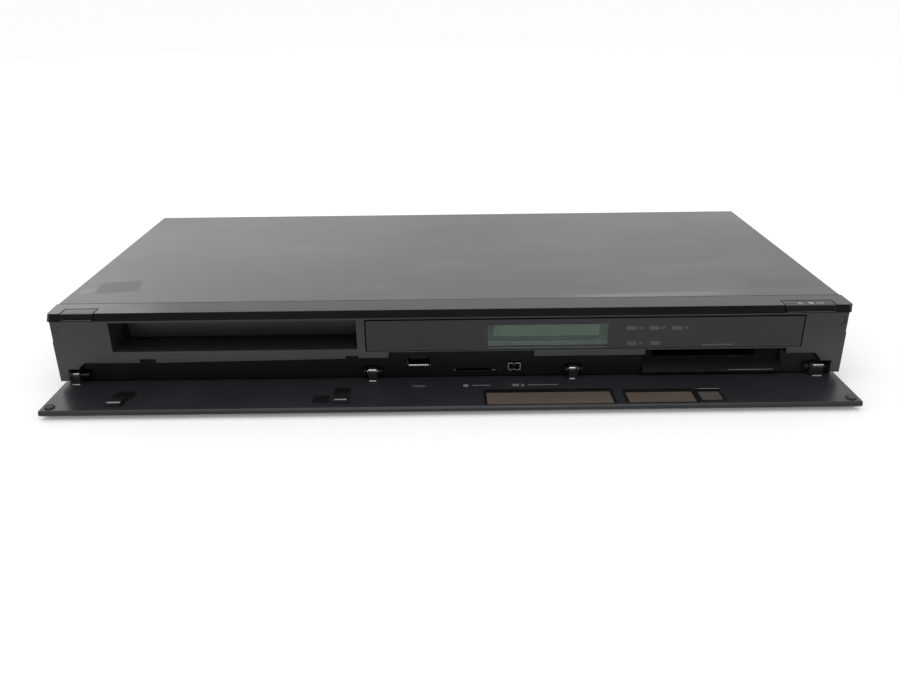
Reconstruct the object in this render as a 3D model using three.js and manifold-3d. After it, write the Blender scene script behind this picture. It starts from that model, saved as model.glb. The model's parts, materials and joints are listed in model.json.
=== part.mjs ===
// Slim disc recorder with an open front flap, in millimetres, Z up, front towards -Y.
import * as THREE from 'three';
import { mergeVertices } from 'three/addons/utils/BufferGeometryUtils.js';
import Module from 'manifold-3d';

const wasm = await Module();
wasm.setup();

// Whole object
const bodyWidth = 430;
const bodyDepth = 199;
const bodyHeight = 49;
const footHeight = 5.2;
const sheet = 1;
const gap = 0.3;
const runningGap = 0.5;
const overrun = 2;

// Front bar over the fascia
const barHeight = 4.2;
const barDepth = 16.3;
const barCorner = 2.5;
const fasciaSetback = 3;

// Buttons in the bar's front edge
const buttonDepth = 8;
const buttonProud = 0.5;
const buttonHeight = 2.9;
const buttonTravel = 0.4;
const buttonEdge = 0.4;
const stemDepth = 1.6;
const stemWidth = 5.6;
const stemLength = 1.9;
const powerButtonInset = 16.8;
const powerButtonWidth = 17.2;
const ejectButtonInset = 22.6;
const ejectButtonWidth = 26.6;

// Switches under the stems
const switchWidth = 12;
const switchDepth = 4.6;
const switchBodyHeight = 4.6;
const plungerRadius = 1.2;
const plungerHeight = 0.9;
const shelfThickness = 1.2;
const shelfDepth = 7;

// Fascia
const fasciaThickness = 2.5;
const fasciaBottom = 8.4;
const fasciaStepHeight = 32;
const fasciaStep = 0.4;
const fasciaWall = 2.2;

// Disc opening and the tunnel behind it
const openingWidth = 133;
const openingInset = 31.5;
const openingDrop = 2;
const openingLift = 1.2;
const tunnelWall = 1.2;
const trayFace = 20;

// Display window, module and board
const windowMargin = 4.9;
const windowEndInset = 23.6;
const windowDrop = 2.1;
const windowRail = 0.9;
const windowThickness = 2;
const displayOffset = 63.6;
const displayWidth = 70;
const displayDrop = 1.2;
const displayThickness = 5.6;
const displayLift = 0.6;
const boardThickness = 1.6;
const frontBoardInset = 11;
const pillarRadius = 1.4;

// Recess under the window
const recessTop = 20.2;
const recessShoulder = 15.4;
const recessChamfer = 3.5;
const bayInset = 5.3;
const bayStep = 6.5;
const recessRim = 1.2;
const panelFace = 7.2;
const panelThickness = 2;
const panelBottom = 5.6;
const socketBaySize = { offset: 12.1, width: 79.5, top: 23.5 };
const cardBaySize = { inset: 31.1, width: 77.1, top: 23.2 };
const leftNotch = { inset: 18.2, width: 8.6, height: 0.9 };
const rightNotch = { inset: 3, width: 7, height: 1.4 };

// Front sockets
const usb = { offset: 16.2, z: 14.6, width: 13.1, height: 6.3, wall: 0.4, depth: 14 };
const usbTongue = { width: 9, height: 1.8, lift: 0.7, setback: 1.5, back: 3 };
const sd = { offset: 48, z: 8.5, width: 28, height: 4, depth: 27, slotWidth: 24.4, slotHeight: 2.4 };
const sdMouth = { width: 25.9, height: 3.1 };
const dv = { offset: 69.5, z: 11, width: 7.2, height: 5.4, wall: 0.6, depth: 12, notch: 0.5 };
const dvTongue = { width: 3.4, height: 0.9, setback: 1 };
const card = { width: 60, height: 10, depth: 52, slotWidth: 58, slotHeight: 4.6, slotBottom: 15.2 };
const cardRamp = { front: 3.6, frontHeight: 8.4, bottom: 7, top: 14.2, plate: 1.5, overlap: 2 };
const cardBack = 4;
const cardInset = 5.2;

// Flap and its hinge
const hingeY = 4.3;
const hingeZ = 10.2;
const flapThickness = 3.2;
const flapFaceDrop = 4.8;
const flapFront = 34.1;
const flapRear = 1.9;
const flapEdge = 1;
const armRadius = 2.6;
const pinRadius = 0.6;
const lugRadius = 1.5;
const lugThickness = 2;
const leftArmWidth = 5.2;
const rightArmWidth = 7.4;
const middleArmWidth = 5;
const middleArmLeftSpace = 9.5;
const middleArmRightSpace = 22.5;
const longPane = { offset: 1, width: 67, front: 28, back: 12 };
const shortPane = { offset: 75.5, width: 36, front: 27.6, back: 13.6 };
const endPane = { offset: 114.2, width: 11.8, front: 25.8, back: 14.3 };
const flapWindowThickness = 2.2;
const ribWidth = 7.6;
const ribHeight = 2.7;
const ribTail = 0.6;
const ribFront = 25;
const ribBack = 11.5;
const leftRibInset = 4.9;
const rightRibInset = 7.6;
const bumperInset = 4.2;
const bumperY = 24.8;
const bumperRadius = 2.5;
const bumperHeight = 1.5;
const bumperSeat = 1;
const dimpleDepth = 1;

// Cover, pan and rear panel
const coverBend = 1.5;
const coverSkirt = 0.6;
const coverLip = 7;
const sideVents = { count: 12, pitch: 7, width: 3, height: 11, first: 70, bottom: 26 };
const screwInset = 65;
const screwDrop = 3.5;
const screwRadius = 1.5;
const screwHeadRadius = 3;
const screwHeadHeight = 1.6;
const screwLength = 6;
const panFlange = 9;
const panVents = { count: 9, pitch: 9, width: 3.5, length: 34, y: 95 };
const rearClearance = 1;

// Feet
const footRadius = 13;
const footTaper = 1.5;
const footBossRadius = 4;
const footBossHeight = 2;
const footSideInset = 40;
const footFrontY = 30;
const footBackInset = 26;

// Disc drive, whose pieces are placed from the drive's centre line
const driveWidth = 148;
const driveLength = 165;
const driveBottom = 8;
const driveTopShare = 0.5;
const driveWall = 2;
const driveFloor = 1.5;
const driveWindow = { halfWidth: 41.5, front: 45, back: 178 };
const trayMouth = { clearance: 1.5, bottom: 24.6 };
const ledgeTop = 25.7;
const ledgeHeight = 2.6;
const ledgeReach = 2.3;
const lidThickness = 0.8;
const discY = 87;
const discRecessRadius = 60.5;
const smallRecessRadius = 40.5;
const discRecessDepth = 1.8;
const smallRecessDepth = 0.8;

// Tray
const trayWidth = 129;
const trayLength = 159.7;
const trayThickness = 4;
const trayBottom = 29;
const traySkirt = 3;
const traySkirtWidth = 2;
const traySlot = { halfWidth: 22, front: 22, back: 65 };
const bezelThickness = 2;
const bezelSideGap = 2.1;
const bezelLip = 0.5;

// Rack and loading gear
const toothModule = 0.9;
const gearTeeth = 16;
const toothSlim = 0.3;
const toothTipShare = 0.34;
const toothRootShare = 0.66;
const gearPlayShare = 0.12;
const teethBeforeGear = 2.5;
const rackX = -46;
const rackDepth = 3;
const rackHeight = 2.4;
const rackTeeth = 54;
const gearY = 34;
const gearThickness = 2.6;
const gearBore = 1.5;
const gearPostRadius = 3;

// Traverse, level when raised, and tilted down about its rear pivot at rest
const traverseTilt = 5.1;
const pivotY = 168;
const pivotZ = 20;
const pivotRadius = 2;
const traverseHalfWidth = 38;
const traverseBeam = 6;
const traverseFront = 70;
const traverseBottom = 18;
const traverseHeight = 4;
const bearingThickness = 4;
const bearingHeight = 4;
const motorRadius = 12;
const motorHeight = 5;
const motorBase = 1;
const motorSide = 26;
const turntable = { radius: 13, seat: 32.6, thickness: 2, coneRadius: 7.3, coneHeight: 2.2, hub: 5 };
const turntableTipShare = 0.7;
const rodX = 24;
const rodRadius = 1.5;
const rodFront = 98;
const rodBack = 163.5;
const pickup = { front: 101, length: 26, halfWidth: 28.5, height: 8, bottom: 19, nut: 8 };
const lens = { radius: 4, top: 30.8, offset: 10 };
const screwX = 31.5;
const leadScrewRadius = 1.3;
const leadScrewHead = 2.4;
const leadScrewHeadLength = 3;

// Clamp and loading motor
const clampHole = 16;
const clampRadius = 15.4;
const clampFlange = 18;
const clampFlangeHeight = 0.8;
const clampBottomShare = 0.2;
const loadingMotor = { x: 48, y: 36, radius: 8, height: 14, shaft: 1, shaftHeight: 3 };

// Electronics
const hardDrive = { space: 7, y: 28, width: 101.6, length: 147, height: 26.1, bottom: 12 };
const hardDriveEdge = 2;
const hardDriveDish = { radius: 44, depth: 0.6, offset: 55 };
const postRadius = 3.5;
const postInset = 8;
const boardBottom = 11;
const boardInset = 7;
const mainBoardSize = { space: 4.4, length: 66, rearSpace: 3.7 };
const powerBoardSize = { space: 6.4, length: 52, rearSpace: 4 };
const heatSink = { inset: 38, offset: 24, width: 38, length: 30, base: 3, height: 14, fins: 8, fin: 1.2 };
const transformer = { offset: 28, width: 34, length: 28, height: 22, core: 12 };
const coilHeightShare = 0.7;
const coilLengthShare = 0.7;
const coilBaseShare = 0.16;
const capacitor = { inset: 58, radius: 10, height: 26 };
const tuner = { offset: 25, length: 43.4, width: 34, height: 15 };
const tunerJack = { spread: 8, radius: 4.5, reach: 7 };
const hdmi = { inset: 38, width: 15, height: 5.6, depth: 13, wall: 0.5 };
const lan = { inset: 68, width: 16, height: 13.5, depth: 21, wall: 1.2 };
const inlet = { inset: 13, drop: 10, width: 20, height: 12, depth: 20, well: 14, wall: 1.6 };
const inletLip = { overlap: 1.2, depth: 1.5 };
const inletPin = { spread: 4.4, radius: 1.1 };
const rearProud = 0.5;

// Fan
const fan = { offset: 0.2, drop: 2.8, depth: 10, wall: 1.4, hub: 7, strut: 2.2, strutDepth: 1.5, corner: 3 };
const rotor = { hub: 7.5, tipGap: 1, blades: 7, bladeThickness: 1, bladeHeight: 6, pitch: 38, shaft: 1.2 };
const fanGrille = { count: 7, pitch: 4.8, width: 2.8, inset: 4 };

// Facets of round shapes
const fineSides = 32;
const midSides = 20;
const smallSides = 12;
const discSides = 64;
const bendSteps = 3;

// Places that follow from the sizes
const halfWidth = bodyWidth / 2;
const barFront = -fasciaSetback;
const barBack = barFront + barDepth;
const barBottom = bodyHeight - barHeight;
const coverBack = bodyDepth - fasciaSetback;
const fasciaTop = barBottom - gap;
const fasciaBack = barBack - gap;
const powerButtonX = -halfWidth + powerButtonInset;
const ejectButtonX = halfWidth - ejectButtonInset;
const openingLeft = -halfWidth + openingInset;
const openingRight = openingLeft + openingWidth;
const openingX = openingLeft + openingWidth / 2;
const windowLeft = openingRight + windowMargin;
const windowRight = halfWidth - windowEndInset;
const windowBottom = socketBaySize.top + windowRail;
const windowTop = fasciaTop - windowDrop;
const openingBottom = windowBottom + openingLift;
const openingTop = fasciaTop - openingDrop;
const displayLeft = windowLeft + displayOffset;
const hingeBayHalfWidth = halfWidth - bayInset;
const recessHalfWidth = hingeBayHalfWidth - bayStep;
const socketLeft = windowLeft + socketBaySize.offset;
const socketBay = { left: socketLeft, right: socketLeft + socketBaySize.width, top: socketBaySize.top };
const cardRight = halfWidth - cardBaySize.inset;
const cardBay = { left: cardRight - cardBaySize.width, right: cardRight, top: cardBaySize.top };
const edgeNotches = [
  { ...leftNotch, x: openingLeft + leftNotch.inset },
  { ...rightNotch, x: openingRight - rightNotch.inset },
];
const usbX = socketBay.left + usb.offset;
const sdX = socketBay.left + sd.offset;
const dvX = socketBay.left + dv.offset;
const leftArmX = -hingeBayHalfWidth + runningGap + leftArmWidth / 2;
const rightArmX = hingeBayHalfWidth - gap - lugThickness - runningGap - rightArmWidth / 2;
const hingeArms = [
  { x: leftArmX, width: leftArmWidth },
  { x: socketBay.left - middleArmLeftSpace, width: middleArmWidth },
  { x: socketBay.right + middleArmRightSpace, width: middleArmWidth },
  { x: rightArmX, width: rightArmWidth },
];
const flapWindows = [longPane, shortPane, endPane].map((pane) => ({
  ...pane,
  left: displayLeft + pane.offset,
  right: displayLeft + pane.offset + pane.width,
}));
const ribCentres = [openingLeft + leftRibInset, openingRight - rightRibInset];
const bumperX = halfWidth - bumperInset;
const coverScrews = [-halfWidth + screwInset, halfWidth - screwInset];
const footX = halfWidth - footSideInset;
const footBackY = coverBack - footBackInset;
const panelBack = panelFace + panelThickness;
const rearBack = coverBack - sheet - gap;
const rearFront = rearBack - sheet;
const panTop = footHeight + sheet;
const panHalfWidth = halfWidth - sheet - gap;
const boardFront = windowThickness + gap + displayThickness + gap;
const boardBack = boardFront + boardThickness;
const driveFront = trayFace + bezelThickness + gap + gap;
const driveBack = driveFront + driveLength;
const trayTop = trayBottom + trayThickness;
const coverUnder = bodyHeight - sheet;
const driveTop = trayTop + (coverUnder - trayTop) * driveTopShare;
const clampBottom = trayTop + (coverUnder - trayTop) * clampBottomShare;
const fanBottom = panTop + rearClearance;
const fanSide = coverUnder - fan.drop - fanBottom;
const fanBore = fanSide / 2 - fan.wall;
const rotorRadius = fanBore - rotor.tipGap;
const trayFront = trayFace + bezelThickness + gap;
const boardTop = boardBottom + boardThickness;
const onBoard = boardTop + gap;
const hardDriveLeft = openingX + driveWidth / 2 + hardDrive.space;
const hardDriveRight = hardDriveLeft + hardDrive.width;
const hardDriveMiddle = hardDriveLeft + hardDrive.width / 2;
const boardRight = halfWidth - boardInset;
const mainBoardBack = rearFront - mainBoardSize.rearSpace;
const mainBoardFront = mainBoardBack - mainBoardSize.length;
const powerBoardBack = mainBoardFront - powerBoardSize.rearSpace;
const mainBoard = {
  left: hardDriveRight + mainBoardSize.space,
  right: boardRight,
  front: mainBoardFront,
  back: mainBoardBack,
};
const powerBoard = {
  left: hardDriveRight + powerBoardSize.space,
  right: boardRight,
  front: powerBoardBack - powerBoardSize.length,
  back: powerBoardBack,
};
const tunerX = mainBoard.left + tuner.offset;
const hdmiX = mainBoard.right - hdmi.inset;
const lanX = mainBoard.right - lan.inset;
const inletX = mainBoard.right - inlet.inset;
const inletZ = bodyHeight - coverLip - inlet.drop;
const fanX = hardDriveMiddle + fan.offset;
const heatSinkX = mainBoard.right - heatSink.inset;
const heatSinkY = mainBoard.front + heatSink.offset;
const transformerX = powerBoard.left + transformer.offset;
const capacitorX = powerBoard.right - capacitor.inset;
const powerBoardMiddle = powerBoard.back - powerBoardSize.length / 2;
const gearRadius = (toothModule * gearTeeth) / 2;
const jackBack = rearBack + tunerJack.reach;
const flapTip = hingeY - flapFront;

const looks = {
  darkPlastic: { color: 0x2b2c2d, roughness: 0.5, metalness: 0 },
  glossPlastic: { color: 0x141416, roughness: 0.2, metalness: 0 },
  blackPlastic: { color: 0x18191b, roughness: 0.55, metalness: 0 },
  paintedSteel: { color: 0x3a3a3c, roughness: 0.45, metalness: 0.3 },
  plainSteel: { color: 0x9b9ea1, roughness: 0.4, metalness: 0.9 },
  brightSteel: { color: 0xc4c7ca, roughness: 0.25, metalness: 1 },
  smokedWindow: { color: 0x3b3c40, roughness: 0.2, metalness: 0 },
  tintedWindow: { color: 0x33251d, roughness: 0.2, metalness: 0 },
  displayGlass: { color: 0x5d6a60, roughness: 0.2, metalness: 0 },
  rubber: { color: 0x1a1a1a, roughness: 0.9, metalness: 0 },
  whitePlastic: { color: 0xd9d7cf, roughness: 0.5, metalness: 0 },
  board: { color: 0x1f5a36, roughness: 0.5, metalness: 0 },
  aluminium: { color: 0xb2b5b8, roughness: 0.4, metalness: 0.9 },
  copperCoil: { color: 0xd9a441, roughness: 0.5, metalness: 0.1 },
  capacitorSleeve: { color: 0x23304a, roughness: 0.4, metalness: 0 },
};

const middle = (range) => (range[0] + range[1]) / 2;
const around = (centre, size) => [centre - size / 2, centre + size / 2];
const upFrom = (start, size) => [start, start + size];
const degrees = (value) => THREE.MathUtils.degToRad(value);

// Turns a closed three.js geometry into a solid that can be joined and cut
function solid(geometry) {
  const plain = geometry.clone();
  plain.deleteAttribute('normal');
  plain.deleteAttribute('uv');
  const merged = mergeVertices(plain);
  return new wasm.Manifold(new wasm.Mesh({
    numProp: 3,
    vertProperties: new Float32Array(merged.attributes.position.array),
    triVerts: new Uint32Array(merged.index.array),
  }));
}

function block(x, y, z) {
  const geometry = new THREE.BoxGeometry(x[1] - x[0], y[1] - y[0], z[1] - z[0]);
  return solid(geometry.translate(middle(x), middle(y), middle(z)));
}

const axisX = new THREE.Vector3(1, 0, 0);
const axisY = new THREE.Vector3(0, 1, 0);
const axisZ = new THREE.Vector3(0, 0, 1);
const frames = {
  x: new THREE.Matrix4().makeBasis(axisY, axisZ, axisX),
  y: new THREE.Matrix4().makeBasis(axisZ, axisX, axisY),
  z: new THREE.Matrix4().makeBasis(axisX, axisY, axisZ),
};

// Extrudes an outline along an axis: (y, z) points along x, (z, x) along y, (x, y) along z
function prism(outline, along, range, steps = bendSteps) {
  const shape = Array.isArray(outline)
    ? new THREE.Shape(outline.map((point) => new THREE.Vector2(point[0], point[1])))
    : outline;
  const options = { depth: range[1] - range[0], bevelEnabled: false, curveSegments: steps };
  const geometry = new THREE.ExtrudeGeometry(shape, options);
  geometry.translate(0, 0, range[0]);
  return solid(geometry.applyMatrix4(frames[along]));
}

// A front view outline holds (x, z) points, which run along y as (z, x)
function frontPrism(points, range) {
  return prism(points.map((point) => [point[1], point[0]]), 'y', range);
}

function rod(along, radius, range, sides = midSides, tipRadius = radius) {
  const geometry = new THREE.CylinderGeometry(tipRadius, radius, range[1] - range[0], sides);
  geometry.rotateX(Math.PI / 2);
  geometry.translate(0, 0, middle(range));
  return solid(geometry.applyMatrix4(frames[along]));
}

function roundedRectangle(x, y, radius) {
  const shape = new THREE.Shape();
  shape.absarc(x[1] - radius, y[1] - radius, radius, 0, Math.PI / 2);
  shape.absarc(x[0] + radius, y[1] - radius, radius, Math.PI / 2, Math.PI);
  shape.absarc(x[0] + radius, y[0] + radius, radius, Math.PI, 1.5 * Math.PI);
  shape.absarc(x[1] - radius, y[0] + radius, radius, 1.5 * Math.PI, 2 * Math.PI);
  return shape;
}

const joined = (pieces) => pieces.reduce((sum, piece) => sum.add(piece));
const cutBy = (body, tools) => tools.reduce((rest, tool) => rest.subtract(tool), body);

function geometryOf(body) {
  const { vertProperties, triVerts } = body.getMesh();
  const geometry = new THREE.BufferGeometry();
  geometry.setAttribute('position', new THREE.BufferAttribute(vertProperties, 3));
  geometry.setIndex(new THREE.BufferAttribute(triVerts, 1));
  geometry.computeVertexNormals();
  return geometry;
}

function piece(parent, name, body, look, place = [0, 0, 0]) {
  const mesh = new THREE.Mesh(geometryOf(body), new THREE.MeshStandardMaterial(looks[look]));
  mesh.name = name;
  mesh.position.set(...place);
  parent.add(mesh);
  return mesh;
}

// The whole part stands with the middle of its footprint at the origin
const recorder = new THREE.Group();
recorder.position.y = -(flapTip + jackBack) / 2;

// Front bar with a pocket and a stem hole for each button
const buttons = [
  { name: 'power', x: powerButtonX, width: powerButtonWidth },
  { name: 'eject', x: ejectButtonX, width: ejectButtonWidth },
];
const capTop = bodyHeight;
const capBottom = capTop - buttonHeight;
const capFront = barFront - buttonProud;
const capBack = barFront + buttonDepth;
const stemFront = fasciaThickness + 2 * gap;
const stemRange = [stemFront, stemFront + stemDepth];
const pocketFloor = capBottom - buttonTravel - gap;
const stemBottom = capBottom - stemLength;
const plungerTop = stemBottom - buttonTravel - gap;
const switchTop = plungerTop - plungerHeight;

function makeBar() {
  const outline = new THREE.Shape();
  outline.moveTo(halfWidth, barBack);
  outline.lineTo(-halfWidth, barBack);
  outline.absarc(-halfWidth + barCorner, barFront + barCorner, barCorner, Math.PI, 1.5 * Math.PI);
  outline.absarc(halfWidth - barCorner, barFront + barCorner, barCorner, 1.5 * Math.PI, 2 * Math.PI);
  const tools = buttons.flatMap((button) => [
    block(around(button.x, button.width + 2 * gap), [barFront - overrun, capBack + gap],
      [pocketFloor, bodyHeight + overrun]),
    block(around(button.x, stemWidth + 2 * gap), [stemRange[0] - gap, stemRange[1] + gap],
      [barBottom - overrun, pocketFloor + overrun]),
  ]);
  return cutBy(prism(outline, 'z', [barBottom, bodyHeight]), tools);
}

function makeButton(width) {
  const outline = [
    [capFront + buttonEdge, capTop],
    [capFront, capTop - buttonEdge],
    [capFront, capBottom],
    [capBack, capBottom],
    [capBack, capTop],
  ];
  return joined([
    prism(outline, 'x', around(0, width)),
    block(around(0, stemWidth), stemRange, [stemBottom, capBottom + gap]),
  ]);
}

function makeSwitch() {
  const body = block(around(0, switchWidth), upFrom(0, switchDepth), [-switchBodyHeight, 0]);
  const plunger = rod('z', plungerRadius, [-gap, plungerHeight], smallSides);
  return body.add(plunger.translate(0, middle(stemRange) - switchFront, 0));
}

const switchFront = fasciaThickness + gap;
const shelfTop = switchTop - switchBodyHeight - gap;

// Outline of the recess in the front view, which the rim around it grows
function recessOutline(grow, bottom) {
  const bay = hingeBayHalfWidth + grow;
  const half = recessHalfWidth + grow;
  const top = recessTop + grow;
  const shoulder = recessShoulder + grow;
  return [
    [-bay, bottom],
    [bay, bottom],
    [bay, shoulder],
    [half, shoulder],
    [half, top - recessChamfer],
    [half - recessChamfer, top],
    [cardBay.right + grow, top],
    [cardBay.right + grow, cardBay.top + grow],
    [cardBay.left - grow, cardBay.top + grow],
    [cardBay.left - grow, top],
    [socketBay.right + grow, top],
    [socketBay.right + grow, socketBay.top + grow],
    [socketBay.left - grow, socketBay.top + grow],
    [socketBay.left - grow, top],
    [-half + recessChamfer, top],
    [-half, top - recessChamfer],
    [-half, shoulder],
    [-bay, shoulder],
  ];
}

function makeFascia() {
  const upper = halfWidth - fasciaStep;
  const outline = [
    [-halfWidth, fasciaBottom],
    [halfWidth, fasciaBottom],
    [halfWidth, fasciaStepHeight],
    [upper, fasciaStepHeight + fasciaStep],
    [upper, fasciaTop],
    [-upper, fasciaTop],
    [-upper, fasciaStepHeight + fasciaStep],
    [-halfWidth, fasciaStepHeight],
  ];
  const through = [-overrun, fasciaThickness + overrun];
  const inner = halfWidth - fasciaStep - fasciaWall;
  const hollow = [fasciaThickness, fasciaBack + overrun];
  const dimpleZ = hingeZ + hingeY + bumperY;
  const dimple = rod('y', bumperRadius + gap, [-overrun, dimpleDepth], smallSides);
  const shell = cutBy(frontPrism(outline, [0, fasciaBack]), [
    block([-inner, inner], hollow, [fasciaBottom - overrun, fasciaTop + overrun]),
    frontPrism(recessOutline(0, fasciaBottom - overrun), through),
    block([windowLeft - gap, windowRight + gap], through, [windowBottom - gap, windowTop + gap]),
    ...edgeNotches.map((notch) => block(around(notch.x, notch.width), through,
      [recessTop - overrun, recessTop + notch.height])),
    dimple.translate(-bumperX, 0, dimpleZ),
    dimple.translate(bumperX, 0, dimpleZ),
  ]);
  const tunnelBack = trayFace - runningGap;
  const tunnel = block([openingLeft - tunnelWall, openingRight + tunnelWall],
    [0, tunnelBack], [openingBottom - tunnelWall, openingTop + tunnelWall]);
  const mouth = block([openingLeft, openingRight], [-overrun, tunnelBack + overrun],
    [openingBottom, openingTop]);
  const shelf = block([-inner - gap, powerButtonX + switchWidth / 2], [fasciaThickness - gap, shelfDepth],
    [shelfTop - shelfThickness, shelfTop]);
  const pillar = rod('y', pillarRadius, [0, boardFront - gap], smallSides);
  const pillarX = middle([openingRight + tunnelWall, windowLeft - gap]);
  return joined([shell, shelf, tunnel, pillar.translate(pillarX, 0, middle([windowBottom, windowTop]))])
    .subtract(mouth);
}

function hingeLugs(arm) {
  const inner = arm.width / 2 + runningGap;
  return [[-inner - lugThickness, -inner], [inner, inner + lugThickness]].map((range) => {
    const nose = rod('x', lugRadius, range, smallSides);
    const web = block(range, [0, panelFace + gap - hingeY], [-lugRadius, lugRadius]);
    return nose.add(web).translate(arm.x, hingeY, hingeZ);
  });
}

function makePortPanel() {
  const rimFront = fasciaThickness + gap;
  const outer = frontPrism(recessOutline(recessRim, fasciaBottom), [rimFront, panelBack]);
  const inner = frontPrism(recessOutline(0, fasciaBottom - overrun), [rimFront - overrun, panelFace]);
  const bay = hingeBayHalfWidth + recessRim;
  const skirt = block([-bay, bay], [panelFace, panelBack], [panelBottom, fasciaBottom + gap]);
  const through = [panelFace - overrun, panelBack + overrun];
  const pinHole = rod('x', pinRadius + gap, [-halfWidth, halfWidth], smallSides);
  const mouth = new THREE.Shape();
  const mouthRadius = sdMouth.height / 2;
  const mouthReach = (sdMouth.width - sdMouth.height) / 2;
  mouth.absarc(sd.z, sdX + mouthReach, mouthRadius, 0, Math.PI);
  mouth.absarc(sd.z, sdX - mouthReach, mouthRadius, Math.PI, 2 * Math.PI);
  return cutBy(joined([outer.subtract(inner), skirt, ...hingeArms.flatMap(hingeLugs)]), [
    pinHole.translate(0, hingeY, hingeZ),
    block(around(usbX, usb.width + 2 * gap), through, around(usb.z, usb.height + 2 * gap)),
    block(around(dvX, dv.width + 2 * gap), through, around(dv.z, dv.height + 2 * gap)),
    block([cardBay.left, cardBay.right], through, [cardRamp.bottom - gap, cardBay.top]),
    prism(mouth, 'y', through),
  ]);
}

// Sockets behind the port panel
function makeUsb() {
  const shell = block(around(0, usb.width), upFrom(0, usb.depth), around(0, usb.height));
  const hollow = block(around(0, usb.width - 2 * usb.wall), [-overrun, usb.depth - usbTongue.back],
    around(0, usb.height - 2 * usb.wall));
  const tongue = block(around(0, usbTongue.width), [usbTongue.setback, usb.depth - gap],
    around(usbTongue.lift, usbTongue.height));
  return shell.subtract(hollow).add(tongue);
}

function makeSdSlot() {
  const housing = block(around(0, sd.width), upFrom(0, sd.depth), around(0, sd.height));
  const slot = block(around(0, sd.slotWidth), [-overrun, sd.depth - overrun],
    around(0, sd.slotHeight));
  return housing.subtract(slot);
}

function makeDvPort() {
  const shell = block(around(0, dv.width), upFrom(0, dv.depth), around(0, dv.height));
  const inside = { x: dv.width / 2 - dv.wall, z: dv.height / 2 - dv.wall };
  const hollow = frontPrism([
    [-inside.x, -inside.z],
    [0, -inside.z + dv.notch],
    [inside.x, -inside.z],
    [inside.x, inside.z],
    [0, inside.z - dv.notch],
    [-inside.x, inside.z],
  ], [-overrun, dv.depth - overrun]);
  const tongue = block(around(0, dvTongue.width), [dvTongue.setback, dv.depth - gap],
    around(0, dvTongue.height));
  return shell.subtract(hollow).add(tongue);
}

function makeCardReader() {
  const plateFront = panelBack + gap;
  const plateBack = plateFront + cardRamp.plate;
  const left = cardBay.left + gap;
  const right = cardBay.right - gap;
  const bodyLeft = cardBay.left + cardInset;
  const slot = [bodyLeft + (card.width - card.slotWidth) / 2,
    bodyLeft + (card.width + card.slotWidth) / 2];
  const ramp = prism([
    [cardRamp.front, cardRamp.bottom],
    [plateBack, cardRamp.bottom],
    [plateBack, cardRamp.top],
    [plateFront, cardRamp.top],
    [cardRamp.front, cardRamp.frontHeight],
  ], 'x', [left, right]);
  const plate = block([left - cardRamp.overlap, right + cardRamp.overlap], [plateFront, plateBack],
    [cardRamp.bottom, cardBay.top + recessRim]);
  const bodyBottom = card.slotBottom + card.slotHeight / 2 - card.height / 2;
  const body = block(upFrom(bodyLeft, card.width), upFrom(plateFront, card.depth),
    upFrom(bodyBottom, card.height));
  const hollow = block(slot, [cardRamp.front, plateFront + card.depth - cardBack],
    upFrom(card.slotBottom, card.slotHeight));
  return joined([ramp, plate, body]).subtract(hollow);
}

// Flap pieces are drawn around the hinge axis
const flapTop = -flapFaceDrop;
const flapUnder = flapTop - flapThickness;
const flapPlace = (y) => -(y + hingeY);

function makeFlap() {
  const profile = [
    [flapRear, flapUnder],
    [flapRear, flapTop],
    [-flapFront + flapEdge, flapTop],
    [-flapFront, flapTop - flapEdge],
    [-flapFront, flapUnder + flapEdge],
    [-flapFront + flapEdge, flapUnder],
  ];
  const panel = prism(profile, 'x', [-halfWidth, halfWidth]);
  const arms = hingeArms.flatMap((arm) => {
    const range = around(arm.x, arm.width);
    return [
      rod('x', armRadius, range),
      block(range, [-armRadius, flapRear], [flapTop - gap, 0]),
    ];
  });
  const ribs = ribCentres.map((x) => prism([
    [flapPlace(ribFront), flapTop - gap],
    [flapPlace(ribBack), flapTop - gap],
    [flapPlace(ribBack), flapTop + ribTail],
    [flapPlace(ribFront) + ribTail, flapTop + ribHeight],
    [flapPlace(ribFront), flapTop + ribHeight],
  ], 'x', around(x, ribWidth)));
  const holes = flapWindows.map((hole) => block([hole.left - gap, hole.right + gap],
    [flapPlace(hole.front) - gap, flapPlace(hole.back) + gap],
    [flapUnder - overrun, flapTop + overrun]));
  const seat = rod('z', bumperRadius + gap, [flapTop - bumperSeat, flapTop + overrun]);
  return cutBy(joined([panel, ...arms, ...ribs]), [
    ...holes,
    rod('x', pinRadius + gap, [-halfWidth, halfWidth], smallSides),
    seat.translate(-bumperX, flapPlace(bumperY), 0),
    seat.translate(bumperX, flapPlace(bumperY), 0),
  ]);
}

const front = new THREE.Group();
recorder.add(front);
piece(front, 'front_bar', makeBar(), 'glossPlastic');
piece(front, 'fascia', makeFascia(), 'darkPlastic');
piece(front, 'port_panel', makePortPanel(), 'blackPlastic');
piece(front, 'display_window', block([windowLeft, windowRight], upFrom(0, windowThickness),
  [windowBottom, windowTop]), 'smokedWindow');
piece(front, 'display_module', block(upFrom(displayLeft, displayWidth),
  upFrom(windowThickness + gap, displayThickness),
  [windowBottom + displayLift, windowTop - displayDrop]), 'displayGlass');
const frontBoardLeft = openingRight + tunnelWall + gap;
const frontBoardBottom = socketBay.top + recessRim + gap;
piece(front, 'front_board', block([frontBoardLeft, halfWidth - frontBoardInset], [boardFront, boardBack],
  [frontBoardBottom, fasciaTop - gap]), 'board');
for (const button of buttons) {
  piece(front, `${button.name}_button`, makeButton(button.width), 'glossPlastic', [button.x, 0, 0]);
  piece(front, `${button.name}_switch`, makeSwitch(), 'blackPlastic',
    [button.x, switchFront, switchTop]);
}
piece(front, 'usb_port', makeUsb(), 'brightSteel', [usbX, panelFace, usb.z]);
piece(front, 'sd_slot', makeSdSlot(), 'plainSteel', [sdX, panelBack + gap, sd.z]);
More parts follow.
